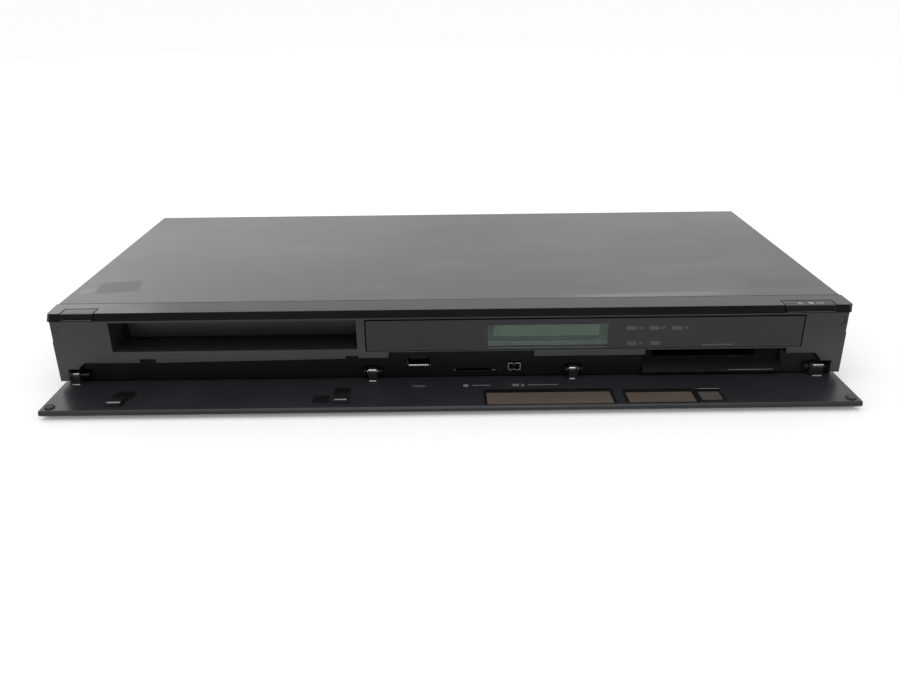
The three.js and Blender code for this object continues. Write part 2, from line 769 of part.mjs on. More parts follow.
piece(front, 'dv_port', makeDvPort(), 'brightSteel', [dvX, panelFace, dv.z]);
piece(front, 'card_reader', makeCardReader(), 'blackPlastic');

const flap = new THREE.Group();
flap.position.set(0, hingeY, hingeZ);
recorder.add(flap);
piece(flap, 'flap_panel', makeFlap(), 'glossPlastic');
flapWindows.forEach((hole, index) => {
  const pane = block([hole.left, hole.right], [flapPlace(hole.front), flapPlace(hole.back)],
    [flapTop - flapWindowThickness, flapTop]);
  piece(flap, `flap_window_${index + 1}`, pane, 'tintedWindow');
});
const bumper = rod('z', bumperRadius, upFrom(0, bumperHeight));
for (const [side, x] of [['left', -bumperX], ['right', bumperX]]) {
  piece(flap, `flap_bumper_${side}`, bumper, 'rubber',
    [x, flapPlace(bumperY), flapTop - bumperSeat + gap]);
}
hingeArms.forEach((arm, index) => {
  const reach = arm.width / 2 + runningGap + lugThickness;
  piece(front, `hinge_pin_${index + 1}`, rod('x', pinRadius, [-reach, reach], smallSides),
    'brightSteel', [arm.x, hingeY, hingeZ]);
});

// Folded steel shell
function makeCover() {
  const bottom = footHeight + coverSkirt;
  const inner = halfWidth - sheet;
  const shape = new THREE.Shape();
  shape.moveTo(bottom, -halfWidth);
  shape.lineTo(bottom, -inner);
  shape.lineTo(bodyHeight - sheet, -inner);
  shape.lineTo(bodyHeight - sheet, inner);
  shape.lineTo(bottom, inner);
  shape.lineTo(bottom, halfWidth);
  shape.absarc(bodyHeight - coverBend, halfWidth - coverBend, coverBend, Math.PI / 2, 0, true);
  shape.absarc(bodyHeight - coverBend, -halfWidth + coverBend, coverBend, 0, -Math.PI / 2, true);
  const lip = block([-inner, inner], [coverBack - sheet, coverBack],
    [bodyHeight - coverLip, bodyHeight - sheet / 2]);
  const vents = Array.from({ length: sideVents.count }, (_, index) => block(
    [-halfWidth - overrun, halfWidth + overrun],
    upFrom(sideVents.first + index * sideVents.pitch, sideVents.width),
    upFrom(sideVents.bottom, sideVents.height),
  ));
  const hole = rod('y', screwRadius + gap, [coverBack - overrun, coverBack + overrun], smallSides);
  const holes = coverScrews.map((x) => hole.translate(x, 0, bodyHeight - screwDrop));
  return cutBy(prism(shape, 'y', [barBack + gap, coverBack]).add(lip), [...vents, ...holes]);
}

const footPlaces = [
  ['front_left', -footX, footFrontY],
  ['front_right', footX, footFrontY],
  ['back_left', -footX, footBackY],
  ['back_right', footX, footBackY],
];

// Posts on the pan under what it carries, with the height of each one's top
function cornerPosts(x, y, top) {
  return [x[0] + postInset, x[1] - postInset].flatMap((postX) => [y[0] + postInset, y[1] - postInset]
    .map((postY) => rod('z', postRadius, [footHeight, top - gap], smallSides).translate(postX, postY, 0)));
}

const hardDriveX = [hardDriveLeft, hardDriveRight];
const hardDriveY = upFrom(hardDrive.y, hardDrive.length);
const driveX = around(openingX, driveWidth);
const driveY = [driveFront, driveBack];

function makePan() {
  const panFront = panelBack + gap;
  const panBack = rearFront - gap;
  const floor = block([-panHalfWidth, panHalfWidth], [panFront, panBack], [footHeight, panTop]);
  const flanges = [[-panHalfWidth, -panHalfWidth + sheet], [panHalfWidth - sheet, panHalfWidth]]
    .map((x) => block(x, [barBack + gap, panBack], upFrom(footHeight, panFlange)));
  const posts = [
    ...cornerPosts(hardDriveX, hardDriveY, hardDrive.bottom),
    ...cornerPosts(driveX, driveY, driveBottom),
    ...cornerPosts([mainBoard.left, mainBoard.right], [mainBoard.front, mainBoard.back], boardBottom),
    ...cornerPosts([powerBoard.left, powerBoard.right], [powerBoard.front, powerBoard.back],
      boardBottom),
  ];
  const through = [footHeight - overrun, panTop + overrun];
  const vents = Array.from({ length: panVents.count }, (_, index) => block(
    upFrom(fanX + (index - panVents.count / 2) * panVents.pitch, panVents.width),
    around(panVents.y, panVents.length),
    through,
  ));
  const bossHole = rod('z', footBossRadius + gap, through, smallSides);
  const holes = footPlaces.map(([, x, y]) => bossHole.translate(x, y, 0));
  return cutBy(joined([floor, ...flanges, ...posts]), [...vents, ...holes]);
}

function makeFoot() {
  const top = footHeight - gap;
  const profile = [
    [0, 0],
    [footRadius - footTaper, 0],
    [footRadius, footTaper],
    [footRadius, top],
    [footBossRadius, top],
    [footBossRadius, top + footBossHeight],
    [0, top + footBossHeight],
  ].map((point) => new THREE.Vector2(...point));
  return solid(new THREE.LatheGeometry(profile, midSides).rotateX(Math.PI / 2));
}

const tunerJackZ = onBoard + tuner.height / 2;
const tunerJacks = [tunerX - tunerJack.spread, tunerX + tunerJack.spread];
const rearHole = (x, z) => block([x[0] - gap, x[1] + gap], [rearFront - overrun, rearBack + overrun],
  [z[0] - gap, z[1] + gap]);
const fanZ = fanBottom + fanSide / 2;

function makeRearPanel() {
  const sheetBody = block([-panHalfWidth, panHalfWidth], [rearFront, rearBack],
    [footHeight, bodyHeight - sheet - gap]);
  const jackHole = rod('y', tunerJack.radius + gap, [rearFront - overrun, rearBack + overrun]);
  const slots = Array.from({ length: fanGrille.count }, (_, index) => rearHole(
    around(fanX + (index - (fanGrille.count - 1) / 2) * fanGrille.pitch, fanGrille.width),
    around(fanZ, fanSide - 2 * fanGrille.inset),
  ));
  const screwHole = rod('y', screwRadius + gap, [rearFront - overrun, rearBack + overrun], smallSides);
  return cutBy(sheetBody, [
    ...tunerJacks.map((x) => jackHole.translate(x, 0, tunerJackZ)),
    ...slots,
    ...coverScrews.map((x) => screwHole.translate(x, 0, bodyHeight - screwDrop)),
    rearHole(around(hdmiX, hdmi.width), upFrom(onBoard, hdmi.height)),
    rearHole(around(lanX, lan.width), upFrom(onBoard, lan.height)),
    rearHole(around(inletX, inlet.width), around(inletZ, inlet.height)),
  ]);
}

function makeScrew() {
  const slotDepth = screwHeadHeight / 2;
  const head = rod('y', screwHeadRadius, upFrom(0, screwHeadHeight), midSides);
  const shank = rod('y', screwRadius, [-screwLength, gap], smallSides);
  const cross = [
    block(around(0, 2 * screwRadius), [slotDepth, screwHeadHeight + overrun], around(0, 2 * gap)),
    block(around(0, 2 * gap), [slotDepth, screwHeadHeight + overrun], around(0, 2 * screwRadius)),
  ];
  return cutBy(head.add(shank), cross);
}

const shell = new THREE.Group();
recorder.add(shell);
piece(shell, 'base_pan', makePan(), 'plainSteel');
piece(shell, 'top_cover', makeCover(), 'paintedSteel');
piece(shell, 'rear_panel', makeRearPanel(), 'paintedSteel');
const foot = makeFoot();
for (const [name, x, y] of footPlaces) piece(shell, `foot_${name}`, foot, 'rubber', [x, y, 0]);
const coverScrew = makeScrew();
coverScrews.forEach((x, index) => {
  piece(shell, `cover_screw_${index + 1}`, coverScrew, 'plainSteel',
    [x, coverBack + gap, bodyHeight - screwDrop]);
});

// Disc drive, drawn around its centre line
const drive = new THREE.Group();
drive.position.x = openingX;
recorder.add(drive);
const driveHalf = driveWidth / 2;
const mouthHalf = trayWidth / 2 + trayMouth.clearance;
const ledgeInner = trayWidth / 2 - ledgeReach;
const gearX = rackX - gearRadius - toothModule * gearPlayShare;
const gearTop = trayBottom - gap - gap;
const gearBottom = gearTop - gearThickness;

function makeDriveCase() {
  const inner = driveHalf - driveWall;
  const floorTop = driveBottom + driveFloor;
  const outer = block([-driveHalf, driveHalf], driveY, [driveBottom, driveTop]);
  const hollow = block([-inner, inner], [driveFront + driveWall, driveBack - driveWall],
    [floorTop, driveTop + overrun]);
  const floorWindow = block([-driveWindow.halfWidth, driveWindow.halfWidth],
    [driveWindow.front, driveWindow.back], [driveBottom - overrun, floorTop + overrun]);
  const mouth = block([-mouthHalf, mouthHalf],
    [driveFront - overrun, driveFront + driveWall + overrun], [trayMouth.bottom, driveTop + overrun]);
  const ledges = [[-inner - gap, -ledgeInner], [ledgeInner, inner + gap]].map((x) => block(x,
    [driveFront + gap, driveBack - gap], [ledgeTop - ledgeHeight, ledgeTop]));
  const bearingX = [driveWindow.halfWidth + gap, driveWindow.halfWidth + gap + bearingThickness];
  const bearings = [bearingX, [-bearingX[1], -bearingX[0]]].map((x) => block(x,
    around(pivotY, 2 * bearingHeight), [floorTop - gap, pivotZ + bearingHeight]));
  const pivotHole = rod('x', pivotRadius + gap, [-bearingX[1] - overrun, bearingX[1] + overrun]);
  const post = rod('z', gearPostRadius, [floorTop - gap, gearBottom - gap], smallSides)
    .add(rod('z', gearBore - gap, [floorTop, gearTop], smallSides));
  return cutBy(joined([cutBy(outer, [hollow, floorWindow, mouth]), ...ledges, ...bearings,
    post.translate(gearX, gearY, 0)]), [pivotHole.translate(0, pivotY, pivotZ)]);
}

const lidBottom = driveTop + gap;
const lidTop = lidBottom + lidThickness;

function makeLid() {
  const plate = prism(roundedRectangle([-driveHalf, driveHalf], driveY, driveWall), 'z',
    [lidBottom, lidTop]);
  const hole = rod('z', clampHole, [lidBottom - overrun, lidTop + overrun], fineSides);
  return plate.subtract(hole.translate(0, discY, 0));
}

function makeClamp() {
  const puck = rod('z', clampRadius, [clampBottom, lidTop + gap + clampFlangeHeight], fineSides);
  const flange = rod('z', clampFlange, upFrom(lidTop + gap, clampFlangeHeight), fineSides);
  return puck.add(flange);
}

// Widths of a trapezoid tooth at its tip and root, and its height either side of the pitch line
function toothOutline(pitch) {
  const tip = pitch * toothTipShare - toothSlim;
  const root = pitch * toothRootShare - toothSlim;
  const height = toothModule;
  return { tip, root, height };
}

const toothPitch = Math.PI * toothModule;

function makeTray() {
  const half = trayWidth / 2;
  const plateY = upFrom(trayFront, trayLength);
  const plate = prism(roundedRectangle([-half, half], plateY, driveWall), 'z', [trayBottom, trayTop]);
  const skirts = [[-half, -half + traySkirtWidth], [half - traySkirtWidth, half]].map((x) => block(x,
    [plateY[0] + driveWall, plateY[1] - driveWall], [trayBottom - traySkirt, trayBottom + gap]));
  const { tip, root, height } = toothOutline(toothPitch);
  const rackBack = rackX + height;
  const rackZ = [trayBottom - rackHeight, trayBottom + gap];
  const firstTooth = gearY - toothPitch * teethBeforeGear;
  const points = [[rackBack + rackDepth, firstTooth - toothPitch], [rackBack + rackDepth,
    firstTooth + rackTeeth * toothPitch], [rackBack, firstTooth + rackTeeth * toothPitch]];
  for (let index = rackTeeth - 1; index >= 0; index -= 1) {
    const y = firstTooth + index * toothPitch;
    points.push([rackBack, y + root / 2], [rackX - height, y + tip / 2],
      [rackX - height, y - tip / 2], [rackBack, y - root / 2]);
  }
  points.push([rackBack, firstTooth - toothPitch]);
  const rack = prism(points, 'z', rackZ);
  const slotY = [discY - traySlot.front, discY + traySlot.back];
  const through = [trayBottom - overrun, trayTop + overrun];
  const recess = rod('z', discRecessRadius, [trayTop - discRecessDepth, trayTop + overrun], discSides);
  const smallRecess = rod('z', smallRecessRadius,
    [trayTop - discRecessDepth - smallRecessDepth, trayTop + overrun], fineSides);
  return cutBy(joined([plate, ...skirts, rack]), [
    recess.translate(0, discY, 0),
    smallRecess.translate(0, discY, 0),
    prism(roundedRectangle([-traySlot.halfWidth, traySlot.halfWidth], slotY, driveWall), 'z', through),
  ]);
}

function makeLoadingGear() {
  const { tip, root, height } = toothOutline(toothPitch);
  const rootRadius = gearRadius - height;
  const tipRadius = gearRadius + height;
  const points = [];
  for (let index = 0; index < gearTeeth; index += 1) {
    const centre = (index / gearTeeth) * 2 * Math.PI;
    const halfRoot = root / 2 / rootRadius;
    const halfTip = tip / 2 / tipRadius;
    for (const [radius, angle] of [[rootRadius, centre - halfRoot], [tipRadius, centre - halfTip],
      [tipRadius, centre + halfTip], [rootRadius, centre + halfRoot]]) {
      points.push([radius * Math.cos(angle), radius * Math.sin(angle)]);
    }
  }
  const bore = rod('z', gearBore, [-overrun, gearThickness + overrun], smallSides);
  return prism(points, 'z', [0, gearThickness]).subtract(bore);
}

function makeLoadingMotor() {
  const can = rod('z', loadingMotor.radius, upFrom(0, loadingMotor.height), fineSides);
  const shaft = rod('z', loadingMotor.shaft,
    [loadingMotor.height - gap, loadingMotor.height + loadingMotor.shaftHeight], smallSides);
  return can.add(shaft);
}

piece(drive, 'drive_case', makeDriveCase(), 'blackPlastic');
piece(drive, 'drive_lid', makeLid(), 'plainSteel');
piece(drive, 'disc_clamp', makeClamp(), 'whitePlastic', [0, discY, 0]);
piece(drive, 'tray', makeTray(), 'blackPlastic');
piece(drive, 'tray_bezel', prism(roundedRectangle(around(0, openingWidth - 2 * bezelSideGap),
  [openingBottom + gap, openingTop - gap], bezelLip).getPoints(bendSteps)
  .map((point) => [point.y, point.x]), 'y', upFrom(trayFace, bezelThickness)), 'glossPlastic');
piece(drive, 'loading_gear', makeLoadingGear(), 'whitePlastic', [gearX, gearY, gearBottom]);
piece(drive, 'loading_motor', makeLoadingMotor(), 'plainSteel',
  [loadingMotor.x, loadingMotor.y, driveBottom + driveFloor + gap]);

// Traverse pieces are drawn level around the pivot, and the group tilts them down
const traverse = new THREE.Group();
traverse.position.set(0, pivotY, pivotZ);
traverse.rotation.x = degrees(traverseTilt);
drive.add(traverse);
const fromPivot = (y) => y - pivotY;
const traverseZ = upFrom(traverseBottom - pivotZ, traverseHeight);
const motorTop = traverseBottom + traverseHeight + gap + motorBase + motorHeight - pivotZ;
const seatZ = turntable.seat - pivotZ;

function makeTraverse() {
  const outer = block([-traverseHalfWidth, traverseHalfWidth],
    [fromPivot(traverseFront), 2 * pivotRadius], traverseZ);
  const inner = traverseHalfWidth - traverseBeam / 2;
  const bay = block([-inner, inner], [fromPivot(rodFront) - gap, fromPivot(rodBack) + gap],
    [traverseZ[0] - overrun, traverseZ[1] + overrun]);
  const pins = rod('x', pivotRadius, [-driveWindow.halfWidth - bearingThickness,
    driveWindow.halfWidth + bearingThickness]);
  return outer.subtract(bay).add(pins);
}

function makeSpindleMotor() {
  const base = block(around(0, motorSide), around(0, motorSide), [-motorHeight - motorBase, -motorHeight]);
  return base.add(rod('z', motorRadius, [-motorHeight - gap, 0], fineSides));
}

function makeTurntable() {
  const top = seatZ;
  const hub = rod('z', turntable.hub, [motorTop + gap, top], midSides);
  const plate = rod('z', turntable.radius, [top - turntable.thickness, top], fineSides);
  const cone = rod('z', turntable.coneRadius, [top - gap, top + turntable.coneHeight], midSides,
    turntable.coneRadius * turntableTipShare);
  return joined([hub, plate, cone]);
}

function makePickup() {
  const y = upFrom(fromPivot(pickup.front), pickup.length);
  const z = upFrom(pickup.bottom - pivotZ, pickup.height);
  const rodZ = middle(traverseZ);
  const nut = block([pickup.halfWidth - gap, screwX - leadScrewRadius - gap],
    around(middle(y), pickup.nut), [z[0], z[0] + 2 * leadScrewRadius]);
  const body = block([-pickup.halfWidth, pickup.halfWidth], y, z).add(nut);
  const eye = rod('z', lens.radius, [z[1] - gap, lens.top - pivotZ]);
  const runs = [y[0] - overrun, y[1] + overrun];
  const rodHole = rod('y', rodRadius + gap, runs, smallSides);
  return cutBy(body.add(eye.translate(0, y[0] + lens.offset, 0)),
    [rodHole.translate(-rodX, 0, rodZ), rodHole.translate(rodX, 0, rodZ)]);
}

function makeLeadScrew() {
  const run = [fromPivot(rodFront) + gap, fromPivot(rodBack) - gap];
  const head = rod('y', leadScrewHead, upFrom(run[0], leadScrewHeadLength), smallSides);
  return rod('y', leadScrewRadius, run, smallSides).add(head);
}

piece(traverse, 'traverse_frame', makeTraverse(), 'blackPlastic');
piece(traverse, 'spindle_motor', makeSpindleMotor(), 'plainSteel', [0, fromPivot(discY), motorTop]);
piece(traverse, 'turntable', makeTurntable(), 'blackPlastic', [0, fromPivot(discY), 0]);
piece(traverse, 'pickup', makePickup(), 'blackPlastic');
const guideRod = rod('y', rodRadius, [fromPivot(rodFront), fromPivot(rodBack)], smallSides);
for (const [side, x] of [['left', -rodX], ['right', rodX]]) {
  piece(traverse, `guide_rod_${side}`, guideRod, 'brightSteel', [x, 0, middle(traverseZ)]);
}
piece(traverse, 'sled_screw', makeLeadScrew(), 'brightSteel', [screwX, 0, middle(traverseZ)]);

// Electronics
function makeHardDrive() {
  const outline = roundedRectangle(hardDriveX, hardDriveY, hardDriveEdge);
  const top = hardDrive.bottom + hardDrive.height;
  const dish = rod('z', hardDriveDish.radius, [top - hardDriveDish.depth, top + overrun], fineSides);
  return prism(outline, 'z', [hardDrive.bottom, top])
    .subtract(dish.translate(hardDriveMiddle, hardDrive.y + hardDriveDish.offset, 0));
}

function makeBoard(board) {
  return block([board.left, board.right], [board.front, board.back], [boardBottom, boardTop]);
}

function makeHeatSink() {
  const base = block(around(0, heatSink.width), around(0, heatSink.length), upFrom(0, heatSink.base));
  const pitch = (heatSink.width - heatSink.fin) / (heatSink.fins - 1);
  const fins = Array.from({ length: heatSink.fins }, (_, index) => block(
    upFrom(-heatSink.width / 2 + index * pitch, heatSink.fin),
    around(0, heatSink.length),
    [heatSink.base - gap, heatSink.height],
  ));
  return joined([base, ...fins]);
}

function makeTransformer() {
  const core = block(around(0, transformer.core), around(0, transformer.length),
    upFrom(0, transformer.height));
  const coilSize = transformer.height * coilHeightShare;
  const coil = block(around(0, transformer.width), around(0, transformer.length * coilLengthShare),
    around(transformer.height / 2, coilSize));
  const base = block(around(0, transformer.width), around(0, transformer.length),
    upFrom(0, transformer.height * coilBaseShare));
  return joined([core, coil, base]);
}

function makeTuner() {
  const can = block(around(tunerX, tuner.width), [rearFront - gap - tuner.length, rearFront - gap],
    upFrom(onBoard, tuner.height));
  const jack = rod('y', tunerJack.radius, [rearFront - overrun, jackBack]);
  const bore = rod('y', gap + gap, [rearBack, jackBack + overrun], smallSides);
  return joined([can, ...tunerJacks.map((x) => jack.subtract(bore).translate(x, 0, tunerJackZ))]);
}

// An open box that faces the rear, for a rear socket
function rearSocket(x, z, depth, wall) {
  const back = rearBack + rearProud;
  const shellBody = block(x, [back - depth, back], z);
  const hollow = block([x[0] + wall, x[1] - wall], [back - depth + wall, back + overrun],
    [z[0] + wall, z[1] - wall]);
  return shellBody.subtract(hollow);
}

function makeInlet() {
  const x = around(inletX, inlet.width);
  const z = around(inletZ, inlet.height);
  const back = rearBack + gap + inletLip.depth;
  const body = block(x, [back - inlet.depth, back], z);
  const lip = block([x[0] - inletLip.overlap, x[1] + inletLip.overlap], [rearBack + gap, back],
    [z[0] - inletLip.overlap, z[1] + inletLip.overlap]);
  const well = block([x[0] + inlet.wall, x[1] - inlet.wall], [back - inlet.well, back + overrun],
    [z[0] + inlet.wall, z[1] - inlet.wall]);
  const pin = rod('y', inletPin.radius, [back - inlet.well - gap, back - overrun], smallSides);
  return joined([body.add(lip).subtract(well), pin.translate(inletX - inletPin.spread, 0, inletZ),
    pin.translate(inletX + inletPin.spread, 0, inletZ)]);
}

function makeFanFrame() {
  const outline = roundedRectangle(around(0, fanSide), around(0, fanSide), fan.corner);
  const body = prism(outline, 'y', upFrom(0, fan.depth));
  const bore = rod('y', fanBore, [-overrun, fan.depth + overrun], fineSides);
  const strutY = [fan.depth - fan.strutDepth, fan.depth];
  const reach = [-fanBore - gap, fanBore + gap];
  return joined([
    body.subtract(bore),
    block(reach, strutY, around(0, fan.strut)),
    block(around(0, fan.strut), strutY, reach),
    rod('y', fan.hub, strutY),
    rod('y', rotor.shaft, [fan.depth / 2, fan.depth], smallSides),
  ]);
}

function makeFanRotor() {
  const hubY = [runningGap, fan.depth - fan.strutDepth - runningGap];
  const hub = rod('y', rotor.hub, hubY);
  const bore = rod('y', rotor.shaft + gap, [fan.depth / 2 - gap, fan.depth], smallSides);
  const blades = Array.from({ length: rotor.blades }, (_, index) => {
    const blade = new THREE.BoxGeometry(rotor.bladeHeight, rotor.bladeThickness,
      rotorRadius - rotor.hub + runningGap);
    blade.rotateZ(degrees(rotor.pitch));
    blade.translate(0, middle(hubY), (rotorRadius + rotor.hub - runningGap) / 2);
    return solid(blade.rotateY((index / rotor.blades) * 2 * Math.PI));
  });
  return joined([hub, ...blades]).subtract(bore);
}

const electronics = new THREE.Group();
recorder.add(electronics);
piece(electronics, 'hard_drive', makeHardDrive(), 'aluminium');
piece(electronics, 'main_board', makeBoard(mainBoard), 'board');
piece(electronics, 'power_board', makeBoard(powerBoard), 'board');
piece(electronics, 'heat_sink', makeHeatSink(), 'aluminium', [heatSinkX, heatSinkY, onBoard]);
piece(electronics, 'transformer', makeTransformer(), 'copperCoil',
  [transformerX, powerBoardMiddle, onBoard]);
piece(electronics, 'capacitor', rod('z', capacitor.radius, upFrom(0, capacitor.height)),
  'capacitorSleeve', [capacitorX, powerBoardMiddle, onBoard]);
piece(electronics, 'tuner_can', makeTuner(), 'plainSteel');
piece(electronics, 'hdmi_port', rearSocket(around(hdmiX, hdmi.width),
  upFrom(onBoard, hdmi.height), hdmi.depth, hdmi.wall), 'brightSteel');
piece(electronics, 'lan_port', rearSocket(around(lanX, lan.width),
  upFrom(onBoard, lan.height), lan.depth, lan.wall), 'plainSteel');
piece(electronics, 'ac_inlet', makeInlet(), 'blackPlastic');
const fanFront = rearFront - gap - fan.depth;
piece(electronics, 'fan_frame', makeFanFrame(), 'blackPlastic', [fanX, fanFront, fanZ]);
piece(electronics, 'fan_rotor', makeFanRotor(), 'blackPlastic', [fanX, fanFront, fanZ]);

export default recorder;
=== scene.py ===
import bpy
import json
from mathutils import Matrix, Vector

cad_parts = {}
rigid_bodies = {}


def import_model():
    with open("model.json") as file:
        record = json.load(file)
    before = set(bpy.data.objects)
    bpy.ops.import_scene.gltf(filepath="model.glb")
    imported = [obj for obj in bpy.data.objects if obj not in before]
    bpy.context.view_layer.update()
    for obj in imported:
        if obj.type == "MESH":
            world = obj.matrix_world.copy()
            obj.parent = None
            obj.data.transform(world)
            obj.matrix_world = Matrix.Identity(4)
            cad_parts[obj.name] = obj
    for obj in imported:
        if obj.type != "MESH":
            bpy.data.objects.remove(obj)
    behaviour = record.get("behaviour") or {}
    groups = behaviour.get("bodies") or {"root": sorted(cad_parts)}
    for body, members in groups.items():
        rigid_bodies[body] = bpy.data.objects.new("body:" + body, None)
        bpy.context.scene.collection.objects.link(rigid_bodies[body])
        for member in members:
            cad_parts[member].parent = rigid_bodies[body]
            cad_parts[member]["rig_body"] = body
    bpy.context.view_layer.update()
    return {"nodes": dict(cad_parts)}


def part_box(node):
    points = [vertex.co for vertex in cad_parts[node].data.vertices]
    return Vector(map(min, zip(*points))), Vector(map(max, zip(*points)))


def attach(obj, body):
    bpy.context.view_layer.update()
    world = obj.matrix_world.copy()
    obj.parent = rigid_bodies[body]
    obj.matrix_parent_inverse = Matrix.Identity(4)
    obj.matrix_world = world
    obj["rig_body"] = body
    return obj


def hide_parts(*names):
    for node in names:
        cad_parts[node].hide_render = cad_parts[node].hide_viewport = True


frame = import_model()

import json
import math
import bpy
import bmesh
from mathutils import Matrix, Vector

mm = 0.001
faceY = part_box("fascia")[0].y   # y 0 of every millimetre value below is the fascia's face
sharpAngle = math.radians(40)   # edges above it stay sharp, or are rounded
print("frame loaded:", len(frame["nodes"]), "solids")


def tone(red, green, blue):
    # screen values 0 to 255, as a linear colour
    parts = [value / 255 for value in (red, green, blue)]
    return tuple(((p + 0.055) / 1.055) ** 2.4 if p > 0.04 else p / 12.92 for p in parts) + (1.0,)


def place(x, y, z):
    return Vector((x * mm, faceY + y * mm, z * mm))


def boxOf(node):
    return [Vector((p.x / mm, (p.y - faceY) / mm, p.z / mm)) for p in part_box(node)]


def middleOf(node):
    return [(low + high) / 2 for low, high in zip(*boxOf(node))]


def addObject(name, data):
    made = bpy.data.objects.new(name, data)
    bpy.context.scene.collection.objects.link(made)
    return made


class Wire:
    # one output socket, which can be used in sums
    def __init__(self, graph, socket):
        self.graph = graph
        self.socket = socket

    def __add__(self, other):
        return self.graph.maths("ADD", self, other)

    def __radd__(self, other):
        return self.graph.maths("ADD", other, self)

    def __sub__(self, other):
        return self.graph.maths("SUBTRACT", self, other)

    def __rsub__(self, other):
        return self.graph.maths("SUBTRACT", other, self)

    def __mul__(self, other):
        return self.graph.maths("MULTIPLY", self, other)


class Graph:
    # a node tree built by calls; here stands for Object coordinates
    def __init__(self, tree):
        self.tree = tree
        self.family = "GeometryNode" if tree.type == "GEOMETRY" else "ShaderNode"

    def link(self, socket, value):
        if isinstance(value, Wire):
            self.tree.links.new(value.socket, socket)
        else:
            socket.default_value = value

    def node(self, kind, settings=None, inputs=None, output=0):
        made = self.tree.nodes.new(kind if "Node" in kind else self.family + kind)
        made.location = (len(self.tree.nodes) * 40, 0)
        for name, value in (settings or {}).items():
            setattr(made, name, value)
        for key, value in (inputs or {}).items():
            self.link(made.inputs[key], value)
        return Wire(self, made.outputs[output])

    def maths(self, operation, first, second):
        return self.node("ShaderNodeMath", {"operation": operation}, {0: first, 1: second})

    def fit(self, value, low, high, toLow=0.0, toHigh=1.0):
        return self.node("MapRange", {"interpolation_type": "SMOOTHSTEP"}, {
            0: value, 1: low, 2: high, 3: toLow, 4: toHigh})

    def between(self, value, low, high, edge):
        # 1 inside the range, with a soft edge
        return self.fit(value, low - edge, low + edge) * self.fit(value, high - edge, high + edge, 1.0, 0.0)

    def mix(self, factor, first, second):
        first, second = [tone(*side) if isinstance(side, tuple) else side for side in (first, second)]
        return self.node("Mix", {"data_type": "RGBA"}, {0: factor, 6: first, 7: second}, 2)

    def layered(self, base, rows):
        # each row holds a share and the tone that it lays over the base
        for share, other in rows:
            base = self.mix(share, base, other)
        return base

    def paintedLight(self, rows):
        # shares and tones of rows of painted light and shade (axis, start, end, tone)
        return [(self.fit(self.axes()[axis], start, end), other) for axis, start, end, other in rows]

    def axes(self, vector=None):
        split = self.node("SeparateXYZ", inputs={0: vector or self.here})
        return [Wire(self, socket) for socket in split.socket.node.outputs]

    def stretch(self, scale=(1, 1, 1), turn=0.0):
        return self.node("Mapping", inputs={0: self.here, 2: (0, 0, turn), 3: scale})

    def noise(self, scale, detail=3.0, rough=0.55, where=None):
        return self.node("TexNoise", inputs={
            "Vector": where or self.here, "Scale": scale, "Detail": detail, "Roughness": rough})

    def cells(self, scale, output=0):
        return self.node("TexVoronoi", inputs={"Vector": self.here, "Scale": scale}, output=output)

    def waves(self, scale, swirl=0.0, across="X", where=None):
        return self.node("TexWave", {"bands_direction": across}, {
            "Vector": where or self.here, "Scale": scale, "Distortion": swirl, "Detail": 2.0}, 1)

    def specks(self, scale, share):
        # a few small round dots, one cell in so many
        pick = self.axes(self.cells(scale, 1))[0]
        return self.fit(self.cells(scale), 0.12, 0.3, 1.0, 0.0) * self.fit(pick, 1 - share, 1.001 - share)

    def rubbed(self):
        # worn patches of the faces that the bevels made
        rub = self.node("Attribute", {"attribute_name": "rub"}, output=2)
        return rub * self.fit(self.noise(150, 3, 0.6), 0.42, 0.64)

    def give(self, base, rough, height=None, depth=0.0, others=None):
        links = {"Base Color": base, "Roughness": rough, **(others or {})}
        if height:
            links["Normal"] = self.node("Bump", inputs={"Distance": depth, "Height": height})
        for socket, value in links.items():
            self.link(self.shader.inputs[socket], value)
        return self.look


def newMaterial(name, constants=None):
    look = bpy.data.materials.new(name)
    look.use_nodes = True
    graph = Graph(look.node_tree)
    graph.look, graph.shader = look, look.node_tree.nodes["Principled BSDF"]
    graph.here = graph.node("TexCoord", output=3)
    for socket, value in (constants or {}).items():
        graph.shader.inputs[socket].default_value = value
    return graph


def plastic(name, colour, shade, roughness, grain, depth, dust=0.0, wear=0.0, wornAndLit=(96, 96, 98), constants=None,
            paintedLight=()):
    # moulded plastic: fine grain, cloudy sheen, dust on faces that look up, rubbed edges, and rows of painted light
    # and shade along an axis
    graph = newMaterial(name, constants)
    cloud, fine = graph.noise(14, 4), graph.noise(grain, 3, 0.6)
    up = graph.fit(graph.axes(graph.node("TexCoord", output=1))[2], 0.5, 0.95)
    motes = graph.specks(1150, dust) * up
    film = graph.fit(graph.noise(60, 5, 0.7), 0.45, 0.8) * up
    base = graph.layered(graph.mix(graph.fit(cloud, 0.35, 0.65), colour, shade), [
        (graph.rubbed() * wear, wornAndLit), (motes * 0.4 + film * 0.012, (165, 160, 152)), *graph.paintedLight(paintedLight)])
    sheen = graph.fit(graph.noise(34, 4, 0.65), 0.3, 0.75, *roughness)
    return graph.give(base, sheen + motes * 0.35 + (fine - 0.5) * 0.06, fine, depth)


def metal(name, colour, shade, roughness, brush, depth=0.00003, paintedLight=()):
    # sheet or turned metal with brush marks along x, darker stained patches, and rows of painted light and shade
    # along an axis
    graph = newMaterial(name, {"Metallic": 1.0})
    lines = graph.noise(40, 3, 0.6, graph.stretch(brush))
    stain = graph.fit(graph.noise(45, 4, 0.6), 0.4, 0.75)
    base = graph.layered(graph.mix(stain * 0.6, colour, shade), [
        (graph.fit(lines, 0.35, 0.7) * 0.35, shade), *graph.paintedLight(paintedLight)])
    return graph.give(base, graph.fit(lines, 0.3, 0.7, *roughness) + stain * 0.08, lines, depth)


